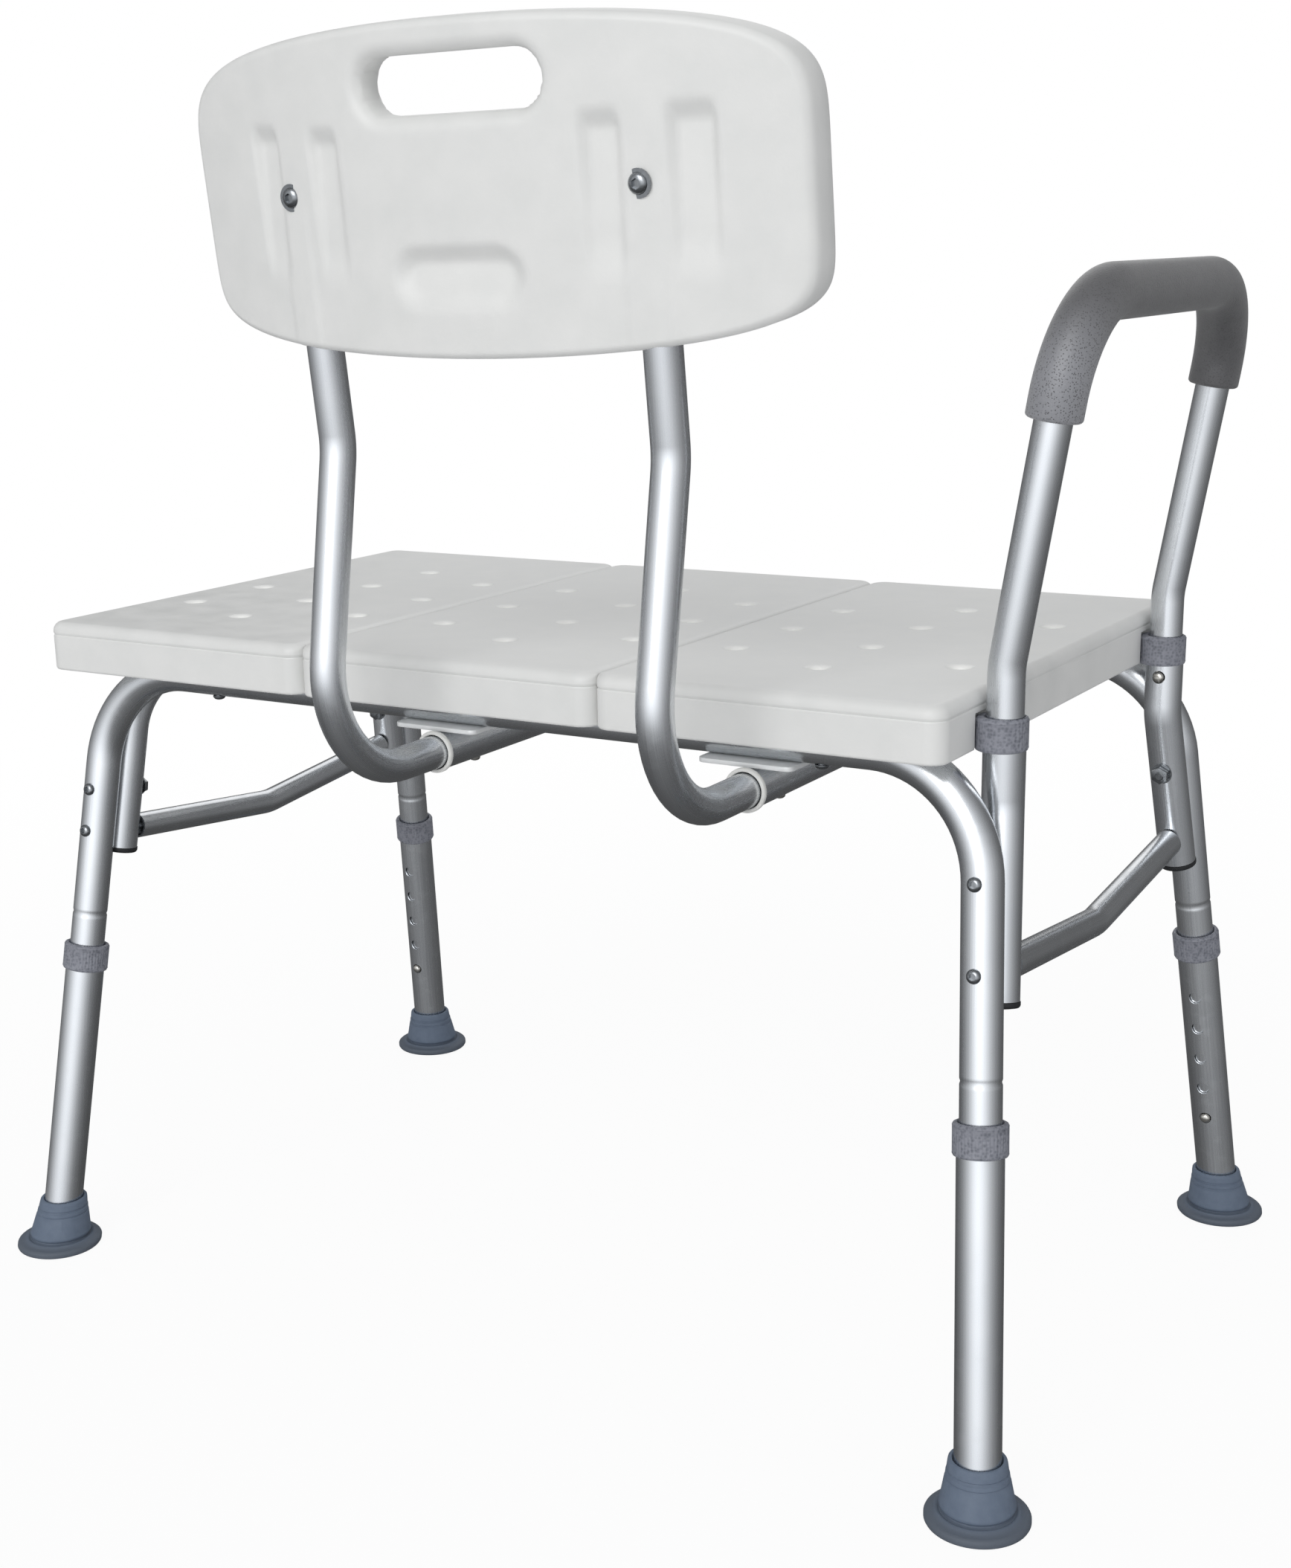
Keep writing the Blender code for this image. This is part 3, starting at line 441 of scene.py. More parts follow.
# ---- end frame
# One more inverted U of the same tube at the end without the armrest, bolted inside the legs to stiffen
# them. Its open lower ends are closed by black plastic plugs that are knocked in and stand proud by a rim.
END_FRAME_TOP = 0.432
END_FRAME_BEND = 0.045
END_FRAME_FOOT = 0.305
END_FRAME_INSET = INNER_TUBE_OFFSET / leg_outward(1).y
BOLT_DRILL_INNER = 0.0202


def inner_bolt_hole(end, side, height):
    """The drill for a bolt's hole through an inner tube, from inside the leg."""
    head, outward, reach = bolt_stack(end, side, height)
    far = head - outward * (reach + BOLT_DRILL_PROUD)
    return head - outward * BOLT_DRILL_INNER, far, BOLT_HOLE, 24


levels = ((1, END_FRAME_FOOT), (1, END_FRAME_TOP), (-1, END_FRAME_TOP), (-1, END_FRAME_FOOT))
route = [leg_point(1, side, height, END_FRAME_INSET) for side, height in levels]
arch = drawn_tube(route, (END_FRAME_BEND, END_FRAME_BEND), FRAME_TUBE, FRAME_WALL)
holes = [inner_bolt_hole(1, side, height) for _, side in SIDES for height in END_BOLTS[1]]
fit("end_frame_drawn", bored(arch, holes), anodised_aluminium)


def lathe(profile, steps, closed=False):
    """A shape turned about the Z axis from its profile's radius and height pairs."""
    bm = bmesh.new()
    knots = [bm.verts.new((radius, 0.0, height)) for radius, height in profile]
    edges = [bm.edges.new(pair) for pair in zip(knots, knots[1:])]
    if closed:
        edges.append(bm.edges.new((knots[-1], knots[0])))
    turning = {"cent": (0, 0, 0), "axis": (0, 0, 1), "angle": math.tau, "steps": steps}
    bmesh.ops.spin(bm, geom=knots + edges, use_merge=True, **turning)
    bmesh.ops.remove_doubles(bm, verts=bm.verts, dist=1e-6)
    bmesh.ops.recalc_face_normals(bm, faces=bm.faces)
    return bm


# Black polypropylene: moulded with a fine spark grain, it shows a broad dull sheen and no clear reflection
pattern = (0.0011, 3.0)
black_plug_plastic, tree, _, grain = new_finish("moulded_black_polypropylene", "grey_plastic", pattern)
shade = node(tree, "Mix", {0: grain, 6: "#1b1c1e", 7: "#2b2c2f"}, data_type="RGBA")[2]
relief = node(tree, "Bump", {"Height": grain, "Strength": 0.25, "Distance": 0.0002})[0]
surface = {"Base Color": shade, "Roughness": 0.48, "IOR": 1.49, "Normal": relief}
node(tree, "OutputMaterial", {0: node(tree, "BsdfPrincipled", surface)[0]})


def end_plug(name, place, outward, bore):
    """A knocked-in plug: its rim covers the tube's cut end, and its stem grips the bore."""
    rim, stem = FRAME_TUBE + 0.0004, bore - 0.0002
    profile = (
        (0.0, 0.0044), (rim * 0.72, 0.0043), (rim - 0.0009, 0.0038), (rim - 0.0002, 0.0030),
        (rim, 0.0022), (rim, 0.0003), (stem, 0.0002), (stem, -0.0040),
        (stem - 0.0006, -0.0080), (0.0, -0.0080),
    )
    fit(name, lathe(profile, 40), black_plug_plastic, along_axis(place, outward), extra=True)


for name, side in SIDES:
    open_end = leg_point(1, side, END_FRAME_FOOT, END_FRAME_INSET)
    end_plug("end_frame_plug_" + name, open_end, leg_down(1, side), FRAME_TUBE - FRAME_WALL)

# ---- armrest receivers and their collars
# Two short tubes bolted inside the arm-end legs. Their upright tops take the armrest's legs, their lower
# ends have the same black plugs, and a slate-grey moulded collar, thicker towards the seat, rings each top.
RECEIVER_TOP = 0.459
RECEIVER_BEND = 0.060
RECEIVER_WALL = 0.0011
ARM_BUTTON_HEIGHT = 0.439
ARM_COLLAR = (0.0158, 0.0019)
ARM_COLLAR_BORE = 0.0131

# Slate-grey nylon: moulded with a coarse knurl that the hand feels, it is matt and a little blue. The knurl's
# tips are painted lighter as a painted highlight and its hollows darker as painted shade. The knurl is drawn
# at 2.1 mm so that it shows.
slate_nylon, tree, in_place, mottle = new_finish("moulded_slate_nylon", "grey_plastic", (0.0045, 4.0))
knurl = node(tree, "TexVoronoi", {"Vector": in_place, "Scale": 1 / 0.0021, "Randomness": 0.75})[0]
both = node(tree, "Math", {0: knurl, 1: mottle}, operation="ADD")[0]
# Painted light: the shade follows the knurl's height, lighter on its tips and darker in its hollows
depth = node(tree, "MapRange", {0: both, 1: 0.55, 2: 1.15})[0]
shade = node(tree, "Mix", {0: depth, 6: "#646770", 7: "#878992"}, data_type="RGBA")[2]
relief = node(tree, "Bump", {"Height": both, "Strength": 0.45, "Distance": 0.0005})[0]
sheen = node(tree, "MapRange", {0: mottle, 3: 0.38, 4: 0.62})[0]
surface = {"Base Color": shade, "Roughness": sheen, "IOR": 1.53, "Normal": relief}
node(tree, "OutputMaterial", {0: node(tree, "BsdfPrincipled", surface)[0]})


def ribbed(bm, barrel, low, high, depth, ribs):
    """Presses fine upright ribs into the barrel of a turned collar."""
    for vertex in bm.verts:
        spread = vertex.co.xy.length
        if abs(spread - barrel) < 0.0001 and low < vertex.co.z < high:
            wave = math.cos(math.atan2(vertex.co.y, vertex.co.x) * ribs)
            vertex.co.xy *= (spread - depth * (0.5 + 0.5 * wave)) / spread
    return bm


for name, side in SIDES:
    elbow, foot = receiver_axis(side, RECEIVER_BEND_HEIGHT), receiver_point(side, RECEIVER_FOOT)
    corners = (receiver_axis(side, RECEIVER_TOP), elbow, foot)
    receiver = drawn_tube(corners, (RECEIVER_BEND,), FRAME_TUBE, RECEIVER_WALL)
    holes = [inner_bolt_hole(-1, side, height) for height in END_BOLTS[-1]]
    holes.append(button_hole(receiver_axis(side, ARM_BUTTON_HEIGHT), (0, -side, 0)))
    fit(f"arm_receiver_{name}_drawn", bored(receiver, holes), anodised_aluminium)
    end_plug("arm_receiver_plug_" + name, foot, foot - elbow, FRAME_TUBE - RECEIVER_WALL)
    barrel, offset = ARM_COLLAR
    profile = (
        (0.0117, 0.4660), (0.0123, 0.4670), (barrel - 0.0022, 0.4670), (barrel - 0.0007, 0.4663),
        (barrel, 0.4650), (barrel, 0.4645), (barrel, 0.4610), (barrel, 0.4570),
        (barrel, 0.4530), (barrel, 0.4495), (barrel, 0.4488), (barrel - 0.0005, 0.4474),
        (barrel - 0.0012, 0.4470), (0.0129, 0.4470), (0.0129, 0.4593), (0.0117, 0.4593),
    )
    collar = ribbed(lathe(profile, 120, closed=True), barrel, 0.4492, 0.4648, 0.00035, 40)
    for vertex in collar.verts:
        if vertex.co.xy.length > ARM_COLLAR_BORE:
            vertex.co.x += offset
    above_floor = Matrix.Translation(receiver_axis(side, 0.0))
    fit(f"arm_collar_{name}_moulded", collar, slate_nylon, above_floor)

# ---- end braces
# A 19 mm tube between the inner tubes at each end, bent once, a little, at its middle. The lower corner
# bolts screw into plugs inside its ends.
BRACE_TUBE = 0.0095
BRACE_WALL = 0.0015
BRACE_BEND = 0.060
BRACE_DROP = 0.016
BRACE_GAP = 0.0022

for name, end in ENDS:
    head, outward, reach = bolt_stack(end, 1, END_BOLTS[end][1])
    start = head - outward * (reach + BRACE_GAP)
    corners = (start, (start.x, 0.0, start.z - BRACE_DROP), (start.x, -start.y, start.z))
    brace = drawn_tube(corners, (BRACE_BEND,), BRACE_TUBE, BRACE_WALL, sides=40)
    fit(f"end_brace_{name}_drawn", brace, anodised_aluminium)

# ---- corner bolts
# Eight zinc-plated button-head bolts with a hexagon socket, two at each corner, through the leg and the
# inner tube. The upper ones take a nut; the lower ones screw into the brace's end plug.
BOLT_HEAD = 0.0045
BOLT_SHANK = 0.003
LEGS = [(f"{end_name}_{side_name}", end, side) for end_name, end in ENDS for side_name, side in SIDES]


def clouded_finish(name, slot, pattern, shades, gloss, **constants):
    """A finish whose shade and roughness follow one cloudy pattern."""
    finish, tree, _, cloud = new_finish(name, slot, pattern)
    shade = node(tree, "Mix", {0: cloud, 6: shades[0], 7: shades[1]}, data_type="RGBA")[2]
    rough = node(tree, "MapRange", {0: cloud, **dict(enumerate(gloss, 1))})[0]
    surface = {"Base Color": shade, "Roughness": rough, **constants}
    node(tree, "OutputMaterial", {0: node(tree, "BsdfPrincipled", surface)[0]})
    return finish


# Zinc plate over steel: smooth with a slight blue, clouded by handling, so it is a mid grey with one glint
shades, gloss = ("#75787b", "#a2a5a8"), (0.3, 0.7, 0.17, 0.33)
bright_zinc = clouded_finish("bright_zinc_plated_steel", "steel", (0.0025, 4.0), shades, gloss, Metallic=1.0)


def edge_rise(edge):
    return abs(edge.verts[0].co.z - edge.verts[1].co.z)


def rounded(bm, edges, radius, steps):
    bmesh.ops.bevel(bm, geom=edges, offset=radius, segments=steps, profile=0.5, affect="EDGES", material=-1)


def button_head(radius, shank, reach, strung=()):
    """A socket button head with its shank down to the reach, and any shapes strung on it."""
    profile = (
        (0.0, 0.0030), (radius * 0.50, 0.0029), (radius * 0.76, 0.0024), (radius * 0.93, 0.0015),
        (radius, 0.0007), (radius, 0.0002), (radius - 0.0003, 0.0), (shank, 0.0),
        (shank, -reach + 0.0006), (shank - 0.0005, -reach), (0.0, -reach),
    )
    socket = prism(6, radius * 0.50, radius * 0.52, 0.0044, Matrix.Translation((0.0, 0.0, 0.0034)))
    return merged([carved(lathe(profile, 32), socket), *strung])


def hexagon_nut(top, across, length):
    """A nut below a height, with the corners of both faces chamfered."""
    nut = prism(6, across, across, length, Matrix.Translation((0.0, 0.0, top - length / 2)))
    rounded(nut, [edge for edge in nut.edges if edge_rise(edge) < length / 2], 0.0005, 2)
    return nut


def washer(top, radius, thickness):
    profile = ((0.0031, top), (radius, top), (radius, top - thickness), (0.0031, top - thickness))
    return lathe(profile, 32, closed=True)


def thread_ridge(height):
    return lathe(((0.0, height + 0.0008), (0.0066, height), (0.0, height - 0.0008)), 24)


for tag, end, side in LEGS:
    for level, height in zip(("upper", "lower"), END_BOLTS[end]):
        head, outward, reach = bolt_stack(end, side, height)
        if level == "upper":
            strung = (washer(-reach - 0.0002, 0.0074, 0.0010), hexagon_nut(-reach - 0.0012, 0.0063, 0.0045))
            bolt = button_head(BOLT_HEAD, BOLT_SHANK, reach + 0.0066, strung)
        else:
            strung = [thread_ridge(-reach - below) for below in (0.0045, 0.0063, 0.0081)]
            bolt = button_head(BOLT_HEAD, BOLT_SHANK, reach + 0.0105, strung)
        fit(f"corner_bolt_{tag}_{level}_plated", bolt, bright_zinc, along_axis(head, outward))

# ---- legs: extensions, collars and feet
# Each leg lengthens by a 28.6 mm tube that slides over the frame's and is held by a snap button in one of
# five holes. A knurled collar steadies its mouth, and a flanged rubber foot is pushed over its lower end.
EXTENSION_RADIUS = 0.0143
EXTENSION_WALL = 0.0010
EXTENSION_TOP = 0.228
EXTENSION_END = 0.0145
HOLE_PITCH = 0.0254
HOLE_COUNT = 5
COLLAR_RADIUS = 0.01675
COLLAR_TOP, COLLAR_FOOT = 0.009, -0.011
FOOT_HEIGHT = 0.037
FOOT_FLANGE = 0.0319

# Slate-blue rubber: moulded, matt and slightly dusty, and darker over the lowest few millimetres of the foot
patterns = (0.006, 5.0), (0.0009, 3.0)
foot_rubber, tree, in_place, dust, pores = new_finish("moulded_slate_rubber", "rubber", *patterns)
height = node(tree, "SeparateXYZ", {0: in_place})[2]
low_part = node(tree, "MapRange", {0: height, 1: 0.0045, 2: 0.0095})[0]
dusty = node(tree, "Mix", {0: dust, 6: "#576477", 7: "#6a7788"}, data_type="RGBA")[2]
shade = node(tree, "Mix", {0: low_part, 6: "#565e69", 7: dusty}, data_type="RGBA")[2]
relief = node(tree, "Bump", {"Height": pores, "Strength": 0.35, "Distance": 0.0002})[0]
surface = {"Base Color": shade, "Roughness": 0.66, "IOR": 1.52, "Normal": relief}
node(tree, "OutputMaterial", {0: node(tree, "BsdfPrincipled", surface)[0]})

# The collar's barrel and bore, and the foot's socket, neck, flange and five rings under its sole
wide, high, low = COLLAR_RADIUS, COLLAR_TOP, COLLAR_FOOT
collar_profile = (
    (0.0133, high - 0.0009), (0.0140, high), (wide - 0.0018, high), (wide - 0.0006, high - 0.0006),
    (wide, high - 0.0018), (wide, high - 0.0022), (wide, high - 0.0070), (wide, high - 0.0120),
    (wide, low + 0.0022), (wide, low + 0.0015), (wide - 0.0006, low + 0.0003), (wide - 0.0012, low),
    (0.0145, low), (0.0145, 0.0003), (0.0133, 0.0003),
)
wide, high = FOOT_FLANGE, FOOT_HEIGHT
foot_profile = [
    (0.0, 0.0115), (0.0148, 0.0115), (0.0148, high - 0.0010), (0.0154, high), (0.0168, high),
    (0.0176, high - 0.0008), (0.0179, high - 0.0022), (0.0184, 0.0312), (0.0178, 0.0306),
    (0.0180, 0.0298), (0.0190, 0.0291), (0.0193, 0.0268), (0.0188, 0.0262), (0.0190, 0.0254),
    (0.0199, 0.0247), (0.0219, 0.0150), (0.0228, 0.0112), (0.0231, 0.0100), (0.0227, 0.0090),
    (0.0217, 0.0080), (0.0219, 0.0070), (0.0231, 0.0066), (0.0243, 0.0072), (0.0254, 0.0071),
    (0.0263, 0.0062), (0.0279, 0.0053), (0.0298, 0.0050), (wide - 0.0013, 0.0048),
    (wide - 0.0004, 0.0040), (wide, 0.0032), (wide, 0.0010), (wide - 0.0006, 0.0),
]
for ring in range(5):
    outer = FOOT_FLANGE - 0.0030 - ring * 0.0052
    foot_profile += [(outer, 0.0), (outer - 0.0006, 0.0012), (outer - 0.0022, 0.0012), (outer - 0.0028, 0.0)]
foot_profile.append((0.0, 0.0))

for tag, end, side in LEGS:
    body = "leg_" + tag
    down = leg_down(end, side)
    top = leg_point(end, side, EXTENSION_TOP)
    route = (leg_point(end, side, EXTENSION_END), top)
    sleeve = drawn_tube(route, (), EXTENSION_RADIUS, EXTENSION_WALL, sides=64)
    seats = [leg_point(end, side, LOWEST_HOLE) - down * HOLE_PITCH * number for number in range(HOLE_COUNT)]
    sleeve = bored(sleeve, [button_hole(seat, -leg_outward(side)) for seat in seats])
    fit(f"leg_extension_{tag}_drawn", sleeve, anodised_aluminium, body=body)

    collar = lathe(collar_profile, 132, closed=True)
    collar = ribbed(collar, COLLAR_RADIUS, COLLAR_FOOT + 0.0018, COLLAR_TOP - 0.0020, 0.0004, 44)
    fit(f"leg_collar_{tag}_moulded", collar, slate_nylon, along_axis(top, -down), body)

    slant = Matrix.Translation(leg_point(end, side, 0.0))
    slant[0][2] = -end * LEAN[0]
    slant[1][2] = -side * LEAN[1]
    fit(f"foot_{tag}_moulded", lathe(foot_profile, 72), foot_rubber, slant, body)

# ---- snap buttons
# Nickel-plated pins on hairpin springs of thin strip, one in each leg and each end of the armrest and the
# backrest. The spring braces against the far wall of its tube and pushes the pin out through the hole.
ARM_TUBE = 0.0111
ARM_WALL = 0.0012
PIN_RADIUS = 0.0038
PIN_REACH = 0.0074
LEG_PIN_SEAT = FRAME_TUBE - FRAME_WALL - 0.0017
ARM_PIN_SEAT = ARM_TUBE - ARM_WALL - 0.0021
STRIP_THICKNESS = 0.0006
STRIP_CURVE_RADIUS = 0.010
BACK_MIDDLE_X = -0.0825
UPRIGHT_SPACING = 0.2328
BACK_RECEIVER_HEIGHT = 0.4160
BACK_BUTTON_Y = 0.150
UPRIGHTS = (("left", BACK_MIDDLE_X + UPRIGHT_SPACING / 2), ("right", BACK_MIDDLE_X - UPRIGHT_SPACING / 2))

# Nickel plate: smooth and warm grey, clouded lighter and darker in small patches
shades, gloss = ("#b9b6ae", "#d9d7d2"), (0.3, 0.7, 0.16, 0.32)
pattern = (0.0016, 4.0)
nickel_plate = clouded_finish("nickel_plated_spring_steel", "steel", pattern, shades, gloss, Metallic=1.0)

# The pin with its crown and flange, and the strip that springs back from under it
pin_profile = (
    (0.0, PIN_REACH), (PIN_RADIUS * 0.35, PIN_REACH - 0.0001), (PIN_RADIUS * 0.68, PIN_REACH - 0.0005),
    (PIN_RADIUS * 0.90, PIN_REACH - 0.0012), (PIN_RADIUS, PIN_REACH - 0.0022), (PIN_RADIUS, 0.0),
    (0.0048, 0.0), (0.0048, -0.0008), (0.0, -0.0008),
)
strip = bmesh.new()
under_pin = Matrix.Translation((0.0, 0.0, -0.0011)) @ Matrix.Diagonal((0.0034, 0.0030, 1.0, 1.0))
bmesh.ops.create_grid(strip, x_segments=4, y_segments=1, size=1.0, matrix=under_pin)
front = [edge for edge in strip.edges if all(vertex.co.y > 0.0029 for vertex in edge.verts)]
for step in range(9):
    grown = bmesh.ops.extrude_edge_only(strip, edges=front)
    front = grown_part(grown, bmesh.types.BMEdge)
    onward = (0.0, 0.0022, -0.00016 * step)
    bmesh.ops.translate(strip, verts=grown_part(grown, bmesh.types.BMVert), vec=onward)
for vertex in strip.verts:
    vertex.co.z -= vertex.co.x ** 2 / (2 * STRIP_CURVE_RADIUS)
bmesh.ops.solidify(strip, geom=list(strip.faces), thickness=STRIP_THICKNESS)
button_mesh = as_mesh("snap_button", merged([lathe(pin_profile, 32), strip]))


def back_button_seat(x):
    return Vector((x, BACK_BUTTON_Y, BACK_RECEIVER_HEIGHT))


def set_button(node_name, axis_point, out, along, radial):
    """Sets a button in a tube: its pin points out, and its strip lies along the tube."""
    out, along = Vector(out), Vector(along)
    turn = Matrix((along.cross(out), along, out)).transposed().to_4x4()
    place = Matrix.Translation(axis_point + out * radial) @ turn
    fit(node_name + "_sprung", button_mesh.copy(), nickel_plate, place, node_name + "_body")


for tag, end, side in LEGS:
    seat = leg_point(end, side, LOWEST_HOLE)
    set_button("leg_button_" + tag, seat, -leg_outward(side), -leg_down(end, side), LEG_PIN_SEAT)
for name, side in SIDES:
    seat = receiver_axis(side, ARM_BUTTON_HEIGHT)
    set_button("arm_button_" + name, seat, (0, -side, 0), (0, 0, 1), ARM_PIN_SEAT)
for name, x in UPRIGHTS:
    set_button("back_button_" + name, back_button_seat(x), (0, 0, -1), (0, -1, 0), ARM_PIN_SEAT)

# ---- backrest receivers
# Two straight tubes that run from front to back under the seat, hung from plates under both rails. The
# backrest's uprights slide into them, through a white plastic ring that takes up the play at the mouth.
BACK_RECEIVER_MOUTH = 0.195
PLATE_SIZE = (0.065, 0.034, 0.003)
PLATE_CORNER = 0.005
PLATE_OFFSET = Vector((0.004, 0.1735, RAIL_HEIGHT - FRAME_TUBE - 0.0018))

# White nylon: turned or moulded smooth, a little waxy, so it has a soft clear sheen
shades, gloss = ("#e2e2dd", "#efefec"), (0.0, 1.0, 0.28, 0.42)
white_nylon = clouded_finish("white_nylon", "white_plastic", (0.004, 3.0), shades, gloss, IOR=1.53)

# Zinc-plated strip: rolled and barrel-plated, paler and duller than the bolts, with cloudy patches
shades, gloss = ("#e6e8e8", "#f8f9f9"), (0.0, 1.0, 0.34, 0.50)
dull_zinc = clouded_finish("dull_zinc_plated_strip", "steel", (0.009, 3.0), shades, gloss, Metallic=0.22)


def rounded_block(size, corner, steps):
    """A block with rounded upright edges, centred on its origin."""
    bm = bmesh.new()
    bmesh.ops.create_cube(bm, size=1.0, matrix=Matrix.Diagonal((*size, 1.0)))
    rounded(bm, [edge for edge in bm.edges if edge_rise(edge) > size[2] / 2], corner, steps)
    return bm


def softened_plate(size, corner, rim):
    """A plate with round corners and broken edges, centred on its origin."""
    bm = rounded_block(size, corner, 8)
    rounded(bm, [edge for edge in bm.edges if edge_rise(edge) < size[2] / 2], rim, 2)
    return bm


ring_profile = (
    (0.0117, 0.0014), (0.0121, 0.0019), (0.0134, 0.0019), (0.0139, 0.0015), (0.0141, 0.0009),
    (0.0141, -0.0012), (0.0138, -0.0016), (0.0128, -0.0016), (0.0128, 0.0003), (0.0117, 0.0003),
)
for name, x in UPRIGHTS:
    route = [Vector((x, y, BACK_RECEIVER_HEIGHT)) for y in (BACK_RECEIVER_MOUTH, -BACK_RECEIVER_MOUTH)]
    hole = button_hole(back_button_seat(x), (0, 0, -1))
    receiver = bored(drawn_tube(route, (), FRAME_TUBE, RECEIVER_WALL), [hole])
    fit(f"back_receiver_{name}_drawn", receiver, anodised_aluminium)
    ring = lathe(ring_profile, 48, closed=True)
    mouth = along_axis(route[0], (0, 1, 0))
    fit(f"receiver_ring_{name}_moulded", ring, white_nylon, mouth)
    for side_name, side in SIDES:
        plate = softened_plate(PLATE_SIZE, PLATE_CORNER, 0.0004)
        place = Matrix.Translation((x + PLATE_OFFSET.x, side * PLATE_OFFSET.y, PLATE_OFFSET.z))
        fit(f"receiver_plate_{name}_{side_name}_plated", plate, dull_zinc, place)

# ---- backrest uprights
# Two 22 mm tubes of the same anodised aluminium, bent up from the receivers and then a little back. Their
# tops go into the panel's sockets, and a snap button holds each lower end in its receiver.
UPRIGHT_END = 0.083
UPRIGHT_CORNER_Y = 0.3145
UPRIGHT_BENDS = (0.070, 0.060)
UPRIGHT_KINK = (0.27905, 0.623)
UPRIGHT_TOP = (0.30192, 0.812)

for name, x in UPRIGHTS:
    route = ((UPRIGHT_END, BACK_RECEIVER_HEIGHT), (UPRIGHT_CORNER_Y, BACK_RECEIVER_HEIGHT))
    corners = [(x, *corner) for corner in (*route, UPRIGHT_KINK, UPRIGHT_TOP)]
    hole = button_hole(back_button_seat(x), (0, 0, -1))
    upright = bored(drawn_tube(corners, UPRIGHT_BENDS, ARM_TUBE, ARM_WALL, bend_steps=18), [hole])
    fit(f"back_upright_{name}_drawn", upright, anodised_aluminium, body="backrest")

# ---- back panel
# A hollow panel of off-white polyethylene, blow-moulded in one piece and curved round the sitter's back.
# It has a hand slot, sunk flutes beside each upright's socket and a shallow grip recess, and a bolt holds
# each upright in its socket.
PANEL_HALF = (0.2053, 0.0902)
PANEL_THICKNESS = 0.026
PANEL_MIDDLE = (0.3088, 0.7678)
PANEL_CURVE_RADIUS = 0.560
PANEL_SQUARENESS_ABOVE = (2.0, 5.6)
PANEL_SQUARENESS_BELOW = (2.0, 8.3)
PANEL_RIM = 0.0055
SLOT_SIZE = (0.1175, 0.0315)
SLOT_MIDDLE = (-0.0055, 0.0562)
SLOT_RIM = 0.0085
FLUTE_DEPTH = 0.0058
SCOOP_MIDDLE = (-0.003, -0.046)
SCOOP_HALF = (0.0455, 0.0195)
SCOOP_DEPTH = 0.0088
RIDGE_HALF_WIDTH = 0.013
RIDGE_HEIGHT = 0.0009
SOCKET_BELOW, SOCKET_ABOVE = 0.17, 0.0015
SOCKET_RADIUS = ARM_TUBE + 0.0004
BACK_BOLT_HEAD = 0.0058
BACK_BOLT_REACH = 0.0145

# Blow-moulded polyethylene: off-white and slightly waxy. The cool mould leaves a very fine orange peel and
# long shallow waves, so its sheen is broken up softly; the peel is drawn at 2.4 mm so that it shows. Round
# the drains, where the mould pinches both walls together, the mouths' rims are whitened as a painted
# highlight.
name, patterns = "blow_moulded_polyethylene", ((0.0024, 2.0), (0.060, 2.0), (0.024, 4.0))
polyethylene, tree, _, peel, waves, clouds = new_finish(name, "white_plastic", *patterns)
shade = node(tree, "Mix", {0: clouds, 6: "#dadbd9", 7: "#e6e6e4"}, data_type="RGBA")[2]
# Painted highlight: the drain mouths' rims are mixed towards white in place of their glints
drain_glint = node(tree, "Attribute", attribute_name="drain_glint")["Fac"]
shade_with_glint = node(tree, "Mix", {0: drain_glint, 6: shade, 7: "#f7f7f4"}, data_type="RGBA")[2]
gloss = node(tree, "MapRange", {0: clouds, 1: 0.3, 2: 0.7, 3: 0.40, 4: 0.52})[0]
peeled = node(tree, "Bump", {"Height": peel, "Strength": 0.22, "Distance": 0.0003})[0]
relief = node(tree, "Bump", {"Height": waves, "Strength": 0.35, "Distance": 0.0012, "Normal": peeled})[0]
surface = {"Base Color": shade_with_glint, "Roughness": gloss, "IOR": 1.51, "Normal": relief}
surface["Specular IOR Level"] = 0.42
node(tree, "OutputMaterial", {0: node(tree, "BsdfPrincipled", surface)[0]})


def smooth(value, low, high):
    """Eases from 0 to 1 between two bounds."""
    share = min(1.0, max(0.0, (value - low) / (high - low)))
    return share * share * (3.0 - 2.0 * share)


def stadium_distance(x, z, half_width, half_height):
    """How far a point lies outside a slot with round ends."""
    return math.hypot(max(0.0, abs(x) - half_width + half_height), z) - half_height


def flute(x, z, middle, top, bottom, half_width):
    """A sunk upright flute: deepest under its hooded top, shallower at its rounded foot."""
    across = smooth(half_width - abs(x - middle), 0.0, 0.0065)
    hood = smooth(top - z, 0.0, 0.014)
    foot = smooth(z - bottom, 0.0, 0.026)
    return across * hood * foot * (0.50 + 0.50 * min(1.0, max(0.0, (z + 0.022) / (top + 0.010))))


# Each flute's middle, top and bottom in the panel's own frame, and its half width
FLUTES = (
    (0.1345, 0.0425, -0.051, 0.0122),
    (0.0855, 0.0400, -0.052, 0.0125),
    (-0.0965, 0.0410, -0.052, 0.0130),
    (-0.1460, 0.0420, -0.052, 0.0145),
)


def rear_relief(x, z):
    """How far the panel's rear face sinks below its plain curve."""
    sunk = FLUTE_DEPTH * sum(flute(x, z, *place) for place in FLUTES)
    into_scoop = -stadium_distance(x - SCOOP_MIDDLE[0], z - SCOOP_MIDDLE[1], *SCOOP_HALF)
    sunk += SCOOP_DEPTH * smooth(into_scoop, -0.001, 0.013) * (0.25 + 0.75 * smooth(z, -0.066, -0.028))
    ridge = smooth(RIDGE_HALF_WIDTH - abs(abs(x) - UPRIGHT_SPACING / 2), 0.0, 0.004)
    return sunk - RIDGE_HEIGHT * ridge * smooth(-z, -0.010, 0.030)


def squareness(v):
    """The powers that shape the outline: it is squarer below the middle than above."""
    return PANEL_SQUARENESS_ABOVE if v > 0.0 else PANEL_SQUARENESS_BELOW


